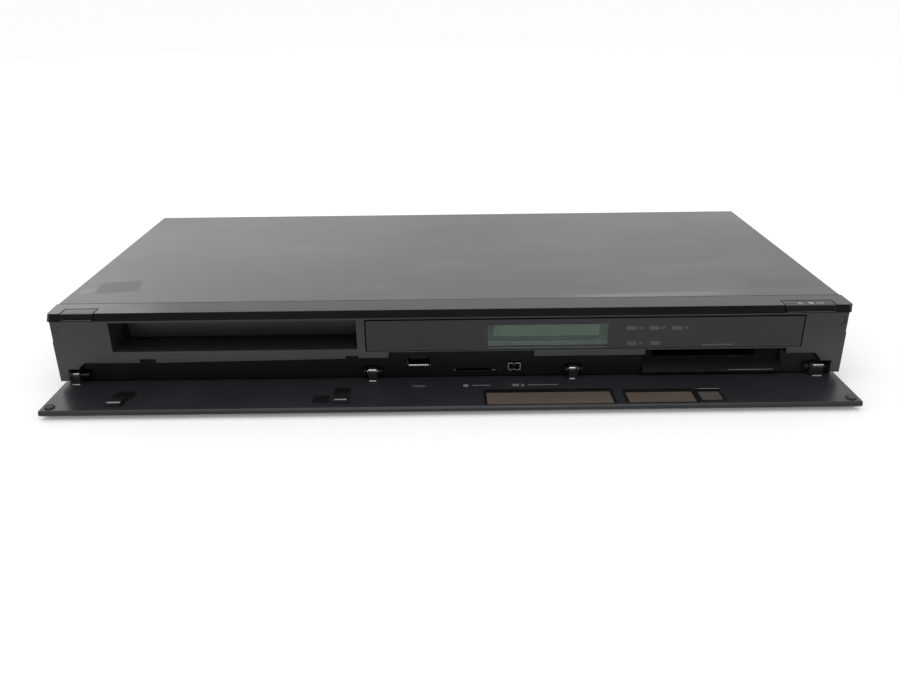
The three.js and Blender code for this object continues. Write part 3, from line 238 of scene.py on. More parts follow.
def pane(name, colour, shade, roughness, constants, depth=0.0):
    # a smooth pane with a faint haze; a depth adds slow waves
    graph = newMaterial(name, constants)
    haze = graph.noise(60, 4, 0.6)
    return graph.give(graph.mix(graph.fit(haze, 0.3, 0.7), colour, shade),
                      graph.fit(haze, 0.35, 0.75, *roughness), depth and graph.noise(60, 2), depth)


def displayFilm(name, colour, shade):
    # pale grey-green display film with a faint cell grid
    values = {"glow": 0.02, "cellWide": 0.0011, "cellTall": 0.0007, "line": (60, 74, 64)}
    graph = newMaterial(name, {"Emission Strength": values["glow"], "IOR": 1.5})
    x, y, z = graph.axes()
    tall = graph.fit(graph.maths("PINGPONG", x, values["cellWide"]), 0.00004, 0.00016)
    wide = graph.fit(graph.maths("PINGPONG", z, values["cellTall"]), 0.00003, 0.00012)
    cloud = graph.noise(50, 4)
    base = graph.layered(graph.mix(graph.fit(cloud, 0.3, 0.7), colour, shade), [
        ((1 - tall * wide) * 0.1, values["line"])])
    return graph.give(base, graph.fit(cloud, 0.3, 0.7, 0.2, 0.32), others={"Emission Color": base})


def circuitBoard():
    # green solder mask over copper runs, with pads
    values = {"mask": (24, 72, 44), "run": (40, 104, 62), "pad": (172, 174, 170), "padsPerMetre": 330}
    graph = newMaterial("circuitBoard", {"IOR": 1.5})
    runs = graph.fit(graph.waves(90, 3.5, where=graph.stretch(turn=0.785)), 0.45, 0.6)
    cross = graph.fit(graph.waves(60, 4.0, "Y"), 0.62, 0.7)
    pads = graph.fit(graph.cells(values["padsPerMetre"]), 0.1, 0.16, 1.0, 0.0)
    copper = graph.maths("MAXIMUM", runs, cross)
    base = graph.layered(graph.mix(copper * 0.7, values["mask"], values["run"]), [(pads, values["pad"])])
    return graph.give(base, graph.fit(copper, 0, 1, 0.42, 0.32), copper + pads, 0.00004, {"Metallic": pads * 0.8})


def wrapped(name, colour, shade, lines):
    # wound wire or a printed sleeve with fine rings
    graph = newMaterial(name)
    rings = graph.waves(lines, 0.3, "Z")
    base = graph.layered(graph.mix(rings * 0.6, colour, shade), [(graph.noise(90, 4) * 0.4, shade)])
    return graph.give(base, graph.fit(rings, 0, 1, 0.38, 0.55), rings, 0.0001)


def coverPaint():
    # dark stipple paint over a fine slanting weave, with faint patches, and with painted reflection: lighter to the
    # left and back, bluish in the middle and warmer at the right. A patch holds x from, to, edge, then back from,
    # to, edge, in metres, then slope, share and tone; the last patch is a painted highlight near the front.
    values = {"weave": 1900.0, "slant": 1.24, "weaveDepth": 0.00006, "paint": ((84, 85, 86), (91, 92, 92)),
              "left": (0.02, -0.14), "right": (0.07, 0.17), "back": (0.02, 0.19), "farBack": (0.14, 0.19),
              "turned": (-0.2, -0.1905, 0.0402, 0.0118, 0.0094),
              "patches": ((-0.2105, -0.203, 0.001, 0.029, 0.0375, 0.001, 0, 0.4, (128, 128, 127)),
                          (0.1, 0.158, 0.02, 0.022, 0.036, 0.01, 0, 0.22, (122, 120, 116)),
                          (0.172, 0.209, 0.005, 0.024, 0.041, 0.005, 0, 0.3, (62, 63, 64)),
                          (0.07, 0.15, 0.02, 0.0095, 0.0158, 0.003, -0.035, 0.42, (150, 150, 148))),
              "hatch": (0.121, 0.168, 0.004, 0.106, 0.122, 0.003), "hatchTurn": 0.37, "hatchLines": 112,
              "dots": ((0.0764, 0.0253), (0.1053, 0.1004)), "dent": (0.2122, 0.015), "seam": (0.0134, 0.0142)}
    graph = newMaterial("coverPaint", {"IOR": 1.5})
    x, y, z = graph.axes()
    back = y - faceY
    ridge = graph.waves(values["weave"] / 20, 0.6, where=graph.stretch(turn=values["slant"]))
    counter = graph.waves(values["weave"] / 11, 0.8, where=graph.stretch(turn=-values["slant"]))
    fine = graph.noise(1600, 4, 0.65)
    cloud = graph.noise(7, 5, 0.6)
    smear = graph.noise(1.4, 5, 0.65, graph.stretch((6, 26, 1), 0.3))
    top = graph.fit(z, 0.0482, 0.0488)
    leftward, rightward = graph.fit(x, *values["left"]) * top, graph.fit(x, *values["right"]) * top
    backward, farBack = graph.fit(back, *values["back"]) * top, graph.fit(back, *values["farBack"]) * top
    middle = graph.between(x, -0.07, 0.09, 0.07)
    lines = graph.waves(values["hatchLines"], where=graph.stretch(turn=values["hatchTurn"]))

    def patch(x0, x1, edgeX, back0, back1, edgeBack, slope=0):
        along = back + x * slope if slope else back
        return graph.between(x, x0, x1, edgeX) * graph.between(along, back0, back1, edgeBack) * top

    def spot(x0, back0, halfX, halfBack, edge):
        return patch(x0 - halfX, x0 + halfX, edge, back0 - halfBack, back0 + halfBack, edge)

    turn, patchX, patchBack, halfX, halfBack = values["turned"]
    fromX, fromBack = x - patchX, back - patchBack
    along = fromX * math.cos(turn) - fromBack * math.sin(turn)
    across = fromX * math.sin(turn) + fromBack * math.cos(turn)
    leftPatch = graph.between(along, -halfX, halfX, 0.0008) * graph.between(across, -halfBack, halfBack, 0.0008)
    seam = graph.fit(back, *values["seam"], 1.0, 0.0) * top
    # painted reflection: lighter to the left and back, bluish in the middle, warmer at the right, lighter at the
    # far back
    base = graph.layered(graph.mix(graph.fit(cloud, 0.3, 0.7), *values["paint"]), [
        (leftward * (0.2 + backward * 0.75), (116, 116, 114)), (backward * 0.55, (106, 108, 106)),
        (middle * 0.35, (81, 85, 88)), (rightward * 0.3, (90, 89, 87)), (farBack * 0.3, (114, 115, 114)),
        (graph.fit(smear, 0.5, 0.8) * 0.2, (106, 107, 108)), (leftPatch * top * 0.45, (74, 75, 72)),
        *[(patch(*row[:7]) * row[7], row[8]) for row in values["patches"]],
        (patch(*values["hatch"]) * lines * 0.2, (134, 134, 133)), (ridge * 0.04, (120, 121, 122)),
        *[(spot(*dot, 0.0006, 0.0005, 0.0005) * 0.3, (146, 145, 142)) for dot in values["dots"]],
        # painted shade in the seam with the bar and in a dent
        (seam * 0.8 + spot(*values["dent"], 0.0009, 0.0007, 0.0004) * 0.6, (30, 31, 32))])
    rough = graph.fit(cloud, 0.3, 0.7, 0.36, 0.44) + graph.fit(smear, 0.45, 0.8) * -0.05 + leftPatch * 0.08
    return graph.give(base, rough + fine * 0.06, ridge * 0.25 + counter * 0.1 + fine * 0.5, values["weaveDepth"])


glossBlack = plastic("glossBlack", (17, 17, 20), (21, 21, 24), (0.18, 0.26), 900, 0.000006, 0.01, 0.15,
                     constants={"IOR": 1.44})
capBlack = plastic("capBlack", (19, 19, 21), (23, 23, 25), (0.22, 0.3), 1500, 0.00001, 0.01, 0.15,
                   constants={"IOR": 1.38})
# painted shade: darker on the parts that rise above the flap's face and on its front edge
flapBlack = plastic("flapBlack", (38, 39, 43), (43, 44, 48), (0.3, 0.38), 1600, 0.00001, 0.01, 0.15,
                    constants={"IOR": 1.42},
                    paintedLight=((2, 0.0057, 0.0063, (31, 31, 33)), (1, -0.1149, -0.1156, (28, 29, 31))))
# painted light and shade: lighter at the left end and towards the bottom, and darker on the faces set back inside
# its openings
fasciaGrey = plastic("fasciaGrey", (41, 42, 44), (45, 46, 48), (0.32, 0.42), 2600, 0.00003, 0.01, 0.2,
                     paintedLight=((0, -0.13, -0.07, (35, 36, 39)), (2, 0.036, 0.02, (51, 52, 54)),
                            (1, faceY + 0.0006, faceY + 0.0012, (40, 40, 42))))
# painted light: lighter at its right end
recessBlack = plastic("recessBlack", (17, 17, 20), (20, 20, 23), (0.4, 0.5), 2200, 0.00003, 0.005, 0.15,
                      constants={"Specular IOR Level": 0.25}, paintedLight=((0, 0.182, 0.19, (38, 38, 39)),))
slotBlack = plastic("slotBlack", (21, 21, 22), (24, 24, 25), (0.5, 0.6), 2200, 0.00003, 0.005, 0.15,
                    constants={"Specular IOR Level": 0.08})
driveBlack = plastic("driveBlack", (31, 31, 33), (36, 36, 38), (0.45, 0.6), 1800, 0.00005, 0.03, 0.25)
trayGrey = plastic("trayGrey", (39, 39, 42), (43, 43, 46), (0.3, 0.4), 1800, 0.00002, 0.01, 0.2)
whitePlastic = plastic("whitePlastic", (214, 211, 202), (200, 197, 188), (0.35, 0.5), 1800, 0.00003, 0.02, 0.1,
                       (226, 224, 218))
rubberBlack = plastic("rubberBlack", (28, 28, 28), (38, 38, 37), (0.75, 0.9), 1400, 0.0001, 0.06, 0.2)
studRubber = plastic("studRubber", (54, 54, 53), (60, 60, 59), (0.6, 0.75), 1400, 0.00005, 0.02, 0.2)
# black laid as painted shade: round the keys, in the flap's pane rims and pocket floors, on the rear's blind slots
# and on the pan's lip
rimBlack = plastic("rimBlack", (10, 10, 12), (13, 13, 15), (0.45, 0.55), 1500, 0.00001,
                   constants={"Specular IOR Level": 0.3})
rearSteel = plastic("rearSteel", (44, 45, 46), (50, 51, 52), (0.38, 0.5), 1500, 0.00005, 0.02, 0.4,
                    (120, 120, 120), {"IOR": 1.5})
paneBlack = plastic("paneBlack", (28, 29, 35), (31, 31, 37), (0.05, 0.1), 60, 0.000002, constants={"IOR": 1.42})
# painted highlights on the flap's ribs and behind its third pane
wornPlastic = plastic("wornPlastic", (158, 158, 155), (118, 118, 116), (0.4, 0.5), 900, 0.00002)
printInk = plastic("printInk", (152, 152, 153), (142, 142, 144), (0.5, 0.6), 2000, 0.000004)
# dim print in the window, and painted highlights on the keys' lower edges
dimInk = plastic("dimInk", (78, 79, 82), (70, 71, 74), (0.4, 0.5), 2000, 0.000004)
flapInk = plastic("flapInk", (122, 124, 128), (112, 114, 118), (0.5, 0.6), 2000, 0.000004)
steel = ((176, 178, 178), (142, 145, 148), (0.28, 0.45), (0.2, 4, 4))
plainSteel = metal("plainSteel", *steel)
# painted shade: near black over its front, under the fascia
panSteel = metal("panSteel", *steel, paintedLight=((1, faceY + 0.018, faceY + 0.016, (9, 9, 10)),))
brightSteel = metal("brightSteel", (220, 220, 218), (190, 190, 188), (0.1, 0.22), (0.15, 1, 6))
castMetal = metal("castMetal", (168, 170, 172), (140, 142, 145), (0.4, 0.55), (1, 1, 1), 0.00008)
shadedSteel = metal("shadedSteel", (92, 91, 88), (70, 69, 67), (0.4, 0.5), (0.2, 3, 3))
goldContact = metal("goldContact", (214, 176, 98), (176, 138, 72), (0.22, 0.34), (0.3, 2, 2))
smokedPane = pane("smokedPane", (172, 174, 181), (166, 168, 175), (0.03, 0.08),
                  {"Transmission Weight": 1.0, "IOR": 1.42}, 0.000004)
brownPane = pane("brownPane", (97, 87, 77), (90, 80, 72), (0.24, 0.34), {"IOR": 1.46})
# a shaded copy of the brown pane, as painted shade on the third pane
dullPane = pane("dullPane", (88, 81, 75), (82, 76, 71), (0.24, 0.34), {"IOR": 1.46})
displayLit = displayFilm("displayLit", (178, 232, 176), (184, 238, 182))
displayDim = displayFilm("displayDim", (104, 156, 112), (110, 162, 118))
displayPale = displayFilm("displayPale", (172, 206, 172), (178, 212, 178))
coilTape = wrapped("coilTape", (206, 160, 62), (170, 124, 44), 180)
sleeveBlue = wrapped("sleeveBlue", (36, 48, 74), (28, 38, 60), 40)
boardGreen = circuitBoard()
coverLook = coverPaint()
print("materials made")


def outlineBox(x0, x1, y0, y1, radius=0.0, steps=4, inset=0.0):
    x0, x1, y0, y1 = x0 + inset, x1 - inset, y0 + inset, y1 - inset
    if radius <= 0:
        return [(x1, y1), (x0, y1), (x0, y0), (x1, y0)]
    corners = ((x1 - radius, y1 - radius, 0), (x0 + radius, y1 - radius, 90),
               (x0 + radius, y0 + radius, 180), (x1 - radius, y0 + radius, 270))
    return [(cx + radius * math.cos(math.radians(start + 90 * step / steps)),
             cy + radius * math.sin(math.radians(start + 90 * step / steps)))
            for cx, cy, start in corners for step in range(steps + 1)]


def circle(u, v, radius, sides):
    return [(u + radius * math.cos(math.tau * k / sides), v + radius * math.sin(math.tau * k / sides))
            for k in range(sides)]


def spread(axis, u, v, along):
    # outline values are (y, z) along x, (x, z) along y and (x, y) along z
    return {"x": (along, u, v), "y": (u, along, v), "z": (u, v, along)}[axis]


class Shape:
    # collects closed forms in millimetres, then becomes one object
    def __init__(self):
        self.mesh = bmesh.new()

    def absorb(self, work, bevel=0.0, segments=2, angle=35):
        bmesh.ops.recalc_face_normals(work, faces=work.faces)
        if bevel > 0:
            limit = math.radians(angle)
            sharp = [e for e in work.edges if len(e.link_faces) == 2 and e.calc_face_angle(0) > limit]
            bmesh.ops.bevel(work, geom=sharp, offset=bevel, segments=segments, profile=0.5,
                            affect="EDGES", clamp_overlap=True, material=1)
        spare = bpy.data.meshes.new("spare")
        work.to_mesh(spare)
        work.free()
        self.mesh.from_mesh(spare)
        bpy.data.meshes.remove(spare)
        return self

    def prism(self, points, axis, start, end, bevel=0.0, angle=35):
        work = bmesh.new()
        rings = [[work.verts.new(spread(axis, u, v, along)) for u, v in points] for along in (start, end)]
        work.faces.new(rings[0])
        work.faces.new(list(reversed(rings[1])))
        for k in range(len(points)):
            n = (k + 1) % len(points)
            work.faces.new((rings[0][n], rings[0][k], rings[1][k], rings[1][n]))
        return self.absorb(work, bevel, angle=angle)

    def plate(self, axis, x0, x1, y0, y1, start, end, radius=0.0, bevel=0.0, inset=0.0):
        return self.prism(outlineBox(x0, x1, y0, y1, radius, inset=inset), axis, start, end, bevel)

    def block(self, low, high, bevel=0.0):
        return self.plate("y", low[0], high[0], low[2], high[2], low[1], high[1], bevel=bevel)

    def ring(self, outer, inner, axis, start, end, bevel, segments=2):
        # a prism with a hole, from two outlines of as many points
        work = bmesh.new()
        loops = [[work.verts.new(spread(axis, u, v, along)) for u, v in points]
                 for points, along in ((outer, start), (outer, end), (inner, end), (inner, start))]
        for a, b in zip(loops, loops[1:] + loops[:1]):
            for k in range(len(outer)):
                n = (k + 1) % len(outer)
                work.faces.new((a[k], a[n], b[n], b[k]))
        return self.absorb(work, bevel, segments)

    def turned(self, axis, centre, profile, sides, closed=False):
        # profile holds (along, radius); a closed one is a tube's wall
        work = bmesh.new()
        rings = []
        for along, radius in profile:
            outline = circle(*centre, radius, sides) if radius > 0 else [centre]
            rings.append([work.verts.new(spread(axis, u, v, along)) for u, v in outline])
        for a, b in list(zip(rings, rings[1:])) + ([(rings[-1], rings[0])] if closed else []):
            for k in range(sides):
                n = (k + 1) % sides
                corners = [a[k % len(a)], a[n % len(a)], b[n % len(b)], b[k % len(b)]]
                work.faces.new(list(dict.fromkeys(corners)))
        return self.absorb(work)

    def finish(self, name, look, slot=None, body="chassis", replaces=()):
        for vertex in self.mesh.verts:
            vertex.co = place(*vertex.co)
        data = bpy.data.meshes.new(name)
        self.mesh.to_mesh(data)
        self.mesh.free()
        settle(name, data, look, body, replaces)


def settle(name, data, look, body="chassis", replaces=()):
    # smooth shading with flat faces kept flat, then the frame's calls
    piece = addObject(name, data)
    rub = data.attributes.new("rub", "FLOAT", "FACE")
    rub.data.foreach_set("value", [float(face.material_index == 1) for face in data.polygons])
    data.materials.clear()
    data.materials.append(look)
    data.polygons.foreach_set("use_smooth", [True] * len(data.polygons))
    data.set_sharp_from_angle(angle=sharpAngle)
    even = piece.modifiers.new("even", "WEIGHTED_NORMAL")
    even.keep_sharp = True
    bakeDown(piece)
    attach(piece, body)
    if replaces:
        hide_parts(*replaces)


def bakeDown(piece):
    shown = piece.evaluated_get(bpy.context.evaluated_depsgraph_get())
    data = bpy.data.meshes.new_from_object(shown)
    piece.modifiers.clear()
    old = piece.data
    piece.data = data
    data.name = piece.name
    bpy.data.meshes.remove(old)


def reworked(data, change):
    work = bmesh.new()
    work.from_mesh(data)
    bmesh.ops.remove_doubles(work, verts=work.verts, dist=0.001)
    change(work)
    work.to_mesh(data)
    work.free()


def joinFlats(work):
    bmesh.ops.dissolve_limit(work, angle_limit=math.radians(1), verts=work.verts, edges=work.edges)


def fromNode(node, name, look, bevel, segments=2, adjust=None, cuts=()):
    # a copy of a solid with its hard edges rounded, which stands for it
    source = frame["nodes"][node]
    data = source.data.copy()
    data.transform(Matrix.Scale(1 / mm, 4) @ Matrix.Translation((0, -faceY, 0)))
    reworked(data, lambda work: [adjust(vertex.co) for vertex in work.verts if adjust])
    piece = addObject(name, data)
    for cut in cuts:
        tool = addObject("tool", bpy.data.meshes.new("tool"))
        cut.mesh.to_mesh(tool.data)
        cut.mesh.free()
        carve = piece.modifiers.new("carve", "BOOLEAN")
        carve.operation, carve.solver, carve.object = "DIFFERENCE", "EXACT", tool
        bakeDown(piece)
        bpy.data.objects.remove(tool)
    reworked(piece.data, joinFlats)
    if bevel > 0:
        rounding = piece.modifiers.new("rounding", "BEVEL")
        rounding.width, rounding.segments = bevel, segments
        rounding.limit_method, rounding.angle_limit = "ANGLE", sharpAngle
        rounding.miter_outer = "MITER_SHARP"
        piece.data.materials.append(None)
        rounding.material = 1   # marks the rounded edges
        bakeDown(piece)
    data = piece.data
    data.transform(Matrix.Translation((0, faceY, 0)) @ Matrix.Scale(mm, 4))
    bpy.data.objects.remove(piece)
    settle(name, data, look, source["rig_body"], (node,))


def fromNodes(*rows):
    for row in rows:
        fromNode(*row)


def dress(look, *nodes):
    for node in nodes:
        frame["nodes"][node].material_slots[0].material = look


# Geometry node trees for what repeats

def geoTree(name, **kinds):
    # inputs are given as words for each kind of socket
    tree = bpy.data.node_groups.new(name, "GeometryNodeTree")
    for kind, labels in {"Geometry": "Geometry", "Material": "Material", **kinds}.items():
        for label in labels.split():
            tree.interface.new_socket(label, in_out="INPUT", socket_type="NodeSocket" + kind)
    tree.interface.new_socket("Geometry", in_out="OUTPUT", socket_type="NodeSocketGeometry")
    graph = Graph(tree)
    start = tree.nodes.new("NodeGroupInput")
    return graph, {socket.name: Wire(graph, socket) for socket in start.outputs if socket.name}


def closeTree(graph, given, geometry):
    real = graph.node("RealizeInstances", inputs={0: geometry})
    done = graph.node("SetMaterial", inputs={0: real, 2: given["Material"]})
    graph.link(graph.tree.nodes.new("NodeGroupOutput").inputs[0], done)
    return graph.tree


def bar(graph, outline, depth):
    # the outline is filled, drawn out and closed below
    face = graph.node("FillCurve", {"mode": "NGONS"}, {0: outline})
    drawn = graph.node("ExtrudeMesh", {"mode": "FACES"}, {"Mesh": face, "Offset Scale": depth, "Individual": False})
    closed = graph.node("JoinGeometry")
    for part in (drawn, graph.node("FlipFaces", inputs={0: face})):
        graph.tree.links.new(part.socket, closed.socket.node.inputs[0])
    return graph.node("MergeByDistance", inputs={0: closed, 2: 0.000001})


def hoop(graph, outline, wire):
    section = graph.node("CurvePrimitiveCircle", inputs={"Resolution": 6, "Radius": wire})
    return graph.node("CurveToMesh", inputs={0: outline, 1: section})


def rowTree(name, corner, draw, measure):
    # copies along a step of a form drawn from a box outline with round corners
    graph, given = geoTree(name, Int="Count", Vector="Start Step", Float="Width Length Corner " + measure,
                           Rotation="Turn")
    outline = graph.node("CurvePrimitiveQuadrilateral", inputs={0: given["Width"], 1: given["Length"]})
    rounded = graph.node("FilletCurve", {"mode": "POLY"}, {
        "Curve": outline, "Count": corner, "Radius": given["Corner"], "Limit Radius": True})
    spots = graph.node("MeshLine", {"mode": "OFFSET"}, {0: given["Count"], 2: given["Start"], 3: given["Step"]})
    return closeTree(graph, given, graph.node("InstanceOnPoints", inputs={
        "Points": spots, "Instance": draw(graph, rounded, given[measure]), "Rotation": given["Turn"]}))


def copiesTree():
    # copies of one shape on the points of the piece's own mesh
    graph, given = geoTree("copies", Object="Piece", Rotation="Turn")
    shape = graph.node("ObjectInfo", inputs={0: given["Piece"]}, output=4)
    return closeTree(graph, given, graph.node("InstanceOnPoints", inputs={
        "Points": given["Geometry"], "Instance": shape, "Rotation": given["Turn"]}))


def boardPartsTree():
    # chips and small parts strewn over a board, from a fixed seed
    values = {"gap": 0.0055, "least": (1.2, 0.8), "most": (4.6, 4.4)}
    graph, given = geoTree("boardParts", Vector="Middle", Float="Width Length Density Low High", Int="Seed")
    field = graph.node("MeshGrid", inputs={0: given["Width"], 1: given["Length"], 2: 2, 3: 2})
    spots = graph.node("DistributePointsOnFaces", {"distribute_method": "POISSON"}, {
        "Mesh": field, "Distance Min": values["gap"], "Density Max": given["Density"], "Seed": given["Seed"]})
    box = graph.node("MeshCube", inputs={0: (mm, mm, mm)})
    raised = graph.node("Transform", inputs={"Geometry": box, "Translation": (0, 0, mm / 2)})
    low, high = [graph.node("ShaderNodeCombineXYZ", inputs={0: values[key][0], 1: values[key][1], 2: given[tall]})
                 for key, tall in (("least", "Low"), ("most", "High"))]
    size = graph.node("FunctionNodeRandomValue", {"data_type": "FLOAT_VECTOR"}, {
        0: low, 1: high, 8: given["Seed"]})
    strewn = graph.node("InstanceOnPoints", inputs={"Points": spots, "Instance": raised, "Scale": size})
    return closeTree(graph, given, graph.node("Transform", inputs={
        "Geometry": strewn, "Translation": given["Middle"]}))


barRow, hoopRow = rowTree("barRow", 3, bar, "Depth"), rowTree("hoopRow", 4, hoop, "Wire")
copiesOf, boardParts = copiesTree(), boardPartsTree()
backward = (math.pi / 2, 0, math.pi)   # turns a bar's depth from up to back
print("node trees made")


def runTree(tree, name, look, values, data=None):
    piece = addObject(name, data or bpy.data.meshes.new(name))
    grow = piece.modifiers.new("grow", "NODES")
    grow.node_group = tree
    values["Material"] = look
    for item in tree.interface.items_tree:
        if item.in_out == "INPUT" and item.name in values:
            grow[item.identifier] = values[item.name]
    bakeDown(piece)
    made = piece.data
    bpy.data.objects.remove(piece)
    settle(name, made, look)


def bars(name, look, start, row, turn=(0, 0, 0)):
    # a row holds the count, the pitch along x, and each bar's width, length, depth and corner
    count, pitch, *sizes = row
    runTree(barRow, name, look, {
        "Count": count, "Start": place(*start), "Step": Vector((pitch, 0, 0)) * mm, "Turn": turn,
        **{key: size * mm for key, size in zip(("Width", "Length", "Depth", "Corner"), sizes)}})


def hoops(name, look, start, row, turn=(0, 0, 0)):
    # a row holds the count, the step, and each hoop's width, length, corner and wire
    count, step, *sizes = row
    runTree(hoopRow, name, look, {
        "Count": count, "Start": place(*start), "Step": Vector([part * mm for part in step]), "Turn": turn,
        **{key: size * mm for key, size in zip(("Width", "Length", "Corner", "Wire"), sizes)}})


def screws(name, spots, radius, height, turn=(0, 0, 0)):
    # domed heads with a round driver hole, drawn up from each spot and then turned
    head = Shape().turned("z", (0, 0), [
        (-0.3, 0), (-0.3, radius), (height * 0.45, radius), (height * 0.85, radius * 0.7), (height, radius * 0.36),
        (height * 0.4, radius * 0.26), (height * 0.4, 0)], 18)
    for vertex in head.mesh.verts:
        vertex.co *= mm
    model = addObject("model", bpy.data.meshes.new("model"))
    head.mesh.to_mesh(model.data)
    head.mesh.free()
    points = bpy.data.meshes.new(name)
    points.from_pydata([place(*spot) for spot in spots], [], [])
    runTree(copiesOf, name, plainSteel, {"Piece": model, "Turn": turn}, data=points)
    bpy.data.objects.remove(model)


# Front bar and its two keys

barValues = {"edge": 0.3, "keyEdge": 0.2, "printDrop": 0.06, "lean": 1.4, "topDrop": 0.03, "endTaper": 0.9,
             "keyFront": -2.9, "front": -0.4, "leanDepth": 2.6, "leftEnd": -212}
barBottom = boxOf("front_bar")[0].z
keyTop = boxOf("eject_button")[1].z


def leanKey(corner):
    # the key's front leans back with the bar's, and its top leaves room for the prints
    if corner.y < barValues["keyFront"]:
        corner.y += barValues["lean"] * max(0, corner.z - barBottom) / (keyTop - barBottom)
    if corner.z > keyTop - 0.01:
        corner.z -= barValues["printDrop"]


def leanBar(corner):
    # the bar's front leans back a little, less so round its corners, and its left end tapers
    values = barValues
    share = (corner.z - barBottom) / (keyTop - barBottom)
    if corner.y < values["front"]:
        corner.y += values["lean"] * share * min(1, (values["front"] - corner.y) / values["leanDepth"])
        if corner.x < values["leftEnd"]:
            corner.x += values["endTaper"] * share
    if corner.z > keyTop - 0.01:
        corner.z -= values["topDrop"]


def keyPrints():
    # plain marks on one key: an eject sign, a block and a dash; plates are from the sign's corner
    values = {"left": 186.0, "y": 0.6, "size": 3.4, "height": 0.62, "thick": 0.05,
              "plates": ((0, 3.4, -1.1, -0.5), (6.2, 8.6, -1.1, 2), (10.4, 14.4, -0.2, 1))}
    y, left, size = values["y"], values["left"], values["size"]
    low, top = keyTop - barValues["printDrop"] - values["thick"], keyTop - 0.01
    marks = Shape().prism([(left, y), (left + size, y), (left + size / 2, y + size * values["height"])], "z",
                          low, top)
    for x0, x1, y0, y1 in values["plates"]:
        marks.plate("z", left + x0, left + x1, y + y0, y + y1, low, top)
    marks.finish("eject_prints", printInk, body="eject_button")


def keyOutlines():
    # black strips round each key as painted shade of its gap, and a pale strip on the lower edge of its front as a
    # painted highlight
    values = {"side": 0.45, "back": 0.6, "gap": 0.3, "front": -1.4, "depth": 0.1, "litInset": 0.6,
              "litFront": -3.46, "litBack": -3.1, "litLow": 45.5, "litHigh": 45.82}
    side, gap, front, inset = values["side"], values["gap"], values["front"], values["litInset"]
    for node, name in (("power_button", "power"), ("eject_button", "eject")):
        low, high = boxOf(node)
        x0, x1, y1 = low.x - gap, high.x + gap, high.y + gap
        gaps = Shape()
        for sides in ((x0 - side, x0, front, y1), (x1, x1 + side, front, y1),
                      (x0 - side, x1 + side, y1, y1 + values["back"])):
            gaps.plate("z", *sides, keyTop - values["depth"], keyTop - 0.01)
        gaps.finish(name + "_gap", rimBlack)
        Shape().block((low.x + inset, values["litFront"], values["litLow"]),
                      (high.x - inset, values["litBack"], values["litHigh"]), 0.08).finish(
            name + "_edge", dimInk, body=node)


fromNodes(("front_bar", "bar_moulding", glossBlack, barValues["edge"], 3, leanBar),
          ("power_button", "power_key", capBlack, barValues["keyEdge"], 3, leanKey),
          ("eject_button", "eject_key", capBlack, barValues["keyEdge"], 3, leanKey))
keyPrints()
keyOutlines()
print("front bar and keys made")


# Fascia, window and display

fasciaValues = {"rounding": 0.25, "edge": 20.2, "dimple": 0.38, "dimpleFrom": 207, "dimpleZ": (35, 43.5),
                "sag": ((-200, 1.0), (-165, 1.4), (-120, 1.4), (-90, 1.0), (-60, 0.35), (-34, -0.6))}
windowValues = {"pane": 1.2, "corner": 0.4, "gap": 0.35, "lensGap": 0.03}
displayValues = {"left": 20.2, "right": 86.6, "bottom": 25.2, "top": 38.9, "litLeft": 24.0, "litRight": 81.5,
                 "litBottom": 31.2, "stripTop": 28.6, "depth": 1.4, "cellThick": 0.7, "stripThick": 1.0}


def sagEdge(corner):
    # the edge over the recess hangs a little at the left, and the dimples for the bumpers are shallow
    rows, (low, high) = fasciaValues["sag"], fasciaValues["dimpleZ"]
    if abs(corner.z - fasciaValues["edge"]) < 0.05 and corner.x < rows[-1][0]:
        for (x0, drop0), (x1, drop1) in zip(rows, rows[1:]):
            if x0 <= corner.x <= x1:
                corner.z -= drop0 + (drop1 - drop0) * (corner.x - x0) / (x1 - x0)
    if abs(corner.x) > fasciaValues["dimpleFrom"] and low < corner.z < high and 0 < corner.y < 1.2:
        corner.y = min(corner.y, fasciaValues["dimple"])


def makeWindow():
    # a pane printed black on its back, with a clear lens over the display
    low, high = boxOf("display_window")
    gap, back = windowValues["gap"], windowValues["pane"]
    opening = [displayValues[key] for key in ("left", "right", "bottom", "top")]
    outer = outlineBox(low.x + gap, high.x - gap, low.z + 0.04, high.z - gap, windowValues["corner"])
    Shape().ring(outer, outlineBox(*opening, 0.3), "y", 0, back, 0.04, 1).finish(
        "window_pane", paneBlack, replaces=["display_window"])
    Shape().plate("y", *opening, 0, back, 0.3, inset=windowValues["lensGap"]).finish("window_lens", smokedPane)


def makeDisplay():
    low, high = boxOf("display_module")
    values, back = displayValues, low.y + displayValues["depth"]
    left, right, top = values["left"], values["right"], values["top"]
    outer = outlineBox(low.x, high.x, low.z, high.z, 0.6)
    inner = outlineBox(left + 0.4, right - 0.4, low.z + 0.5, top + 0.3, 0.3)
    Shape().ring(outer, inner, "y", low.y, high.y, 0.1).finish("display_frame", driveBlack)
    Shape().plate("y", left + 0.5, right - 0.5, low.z + 0.6, top + 0.2, back, high.y - 0.2).finish(
        "display_holder", displayDim, replaces=["display_module"])
    Shape().plate("y", values["litLeft"], values["litRight"], values["litBottom"], top - 0.1,
                  back - values["cellThick"], back - 0.02, 0.3, 0.1).finish("display_cell", displayLit)
    Shape().plate("y", left + 0.6, right - 0.6, low.z + 0.7, values["stripTop"], back - values["stripThick"],
                  back - 0.02, 0.2, 0.15).finish("display_strip", displayPale)


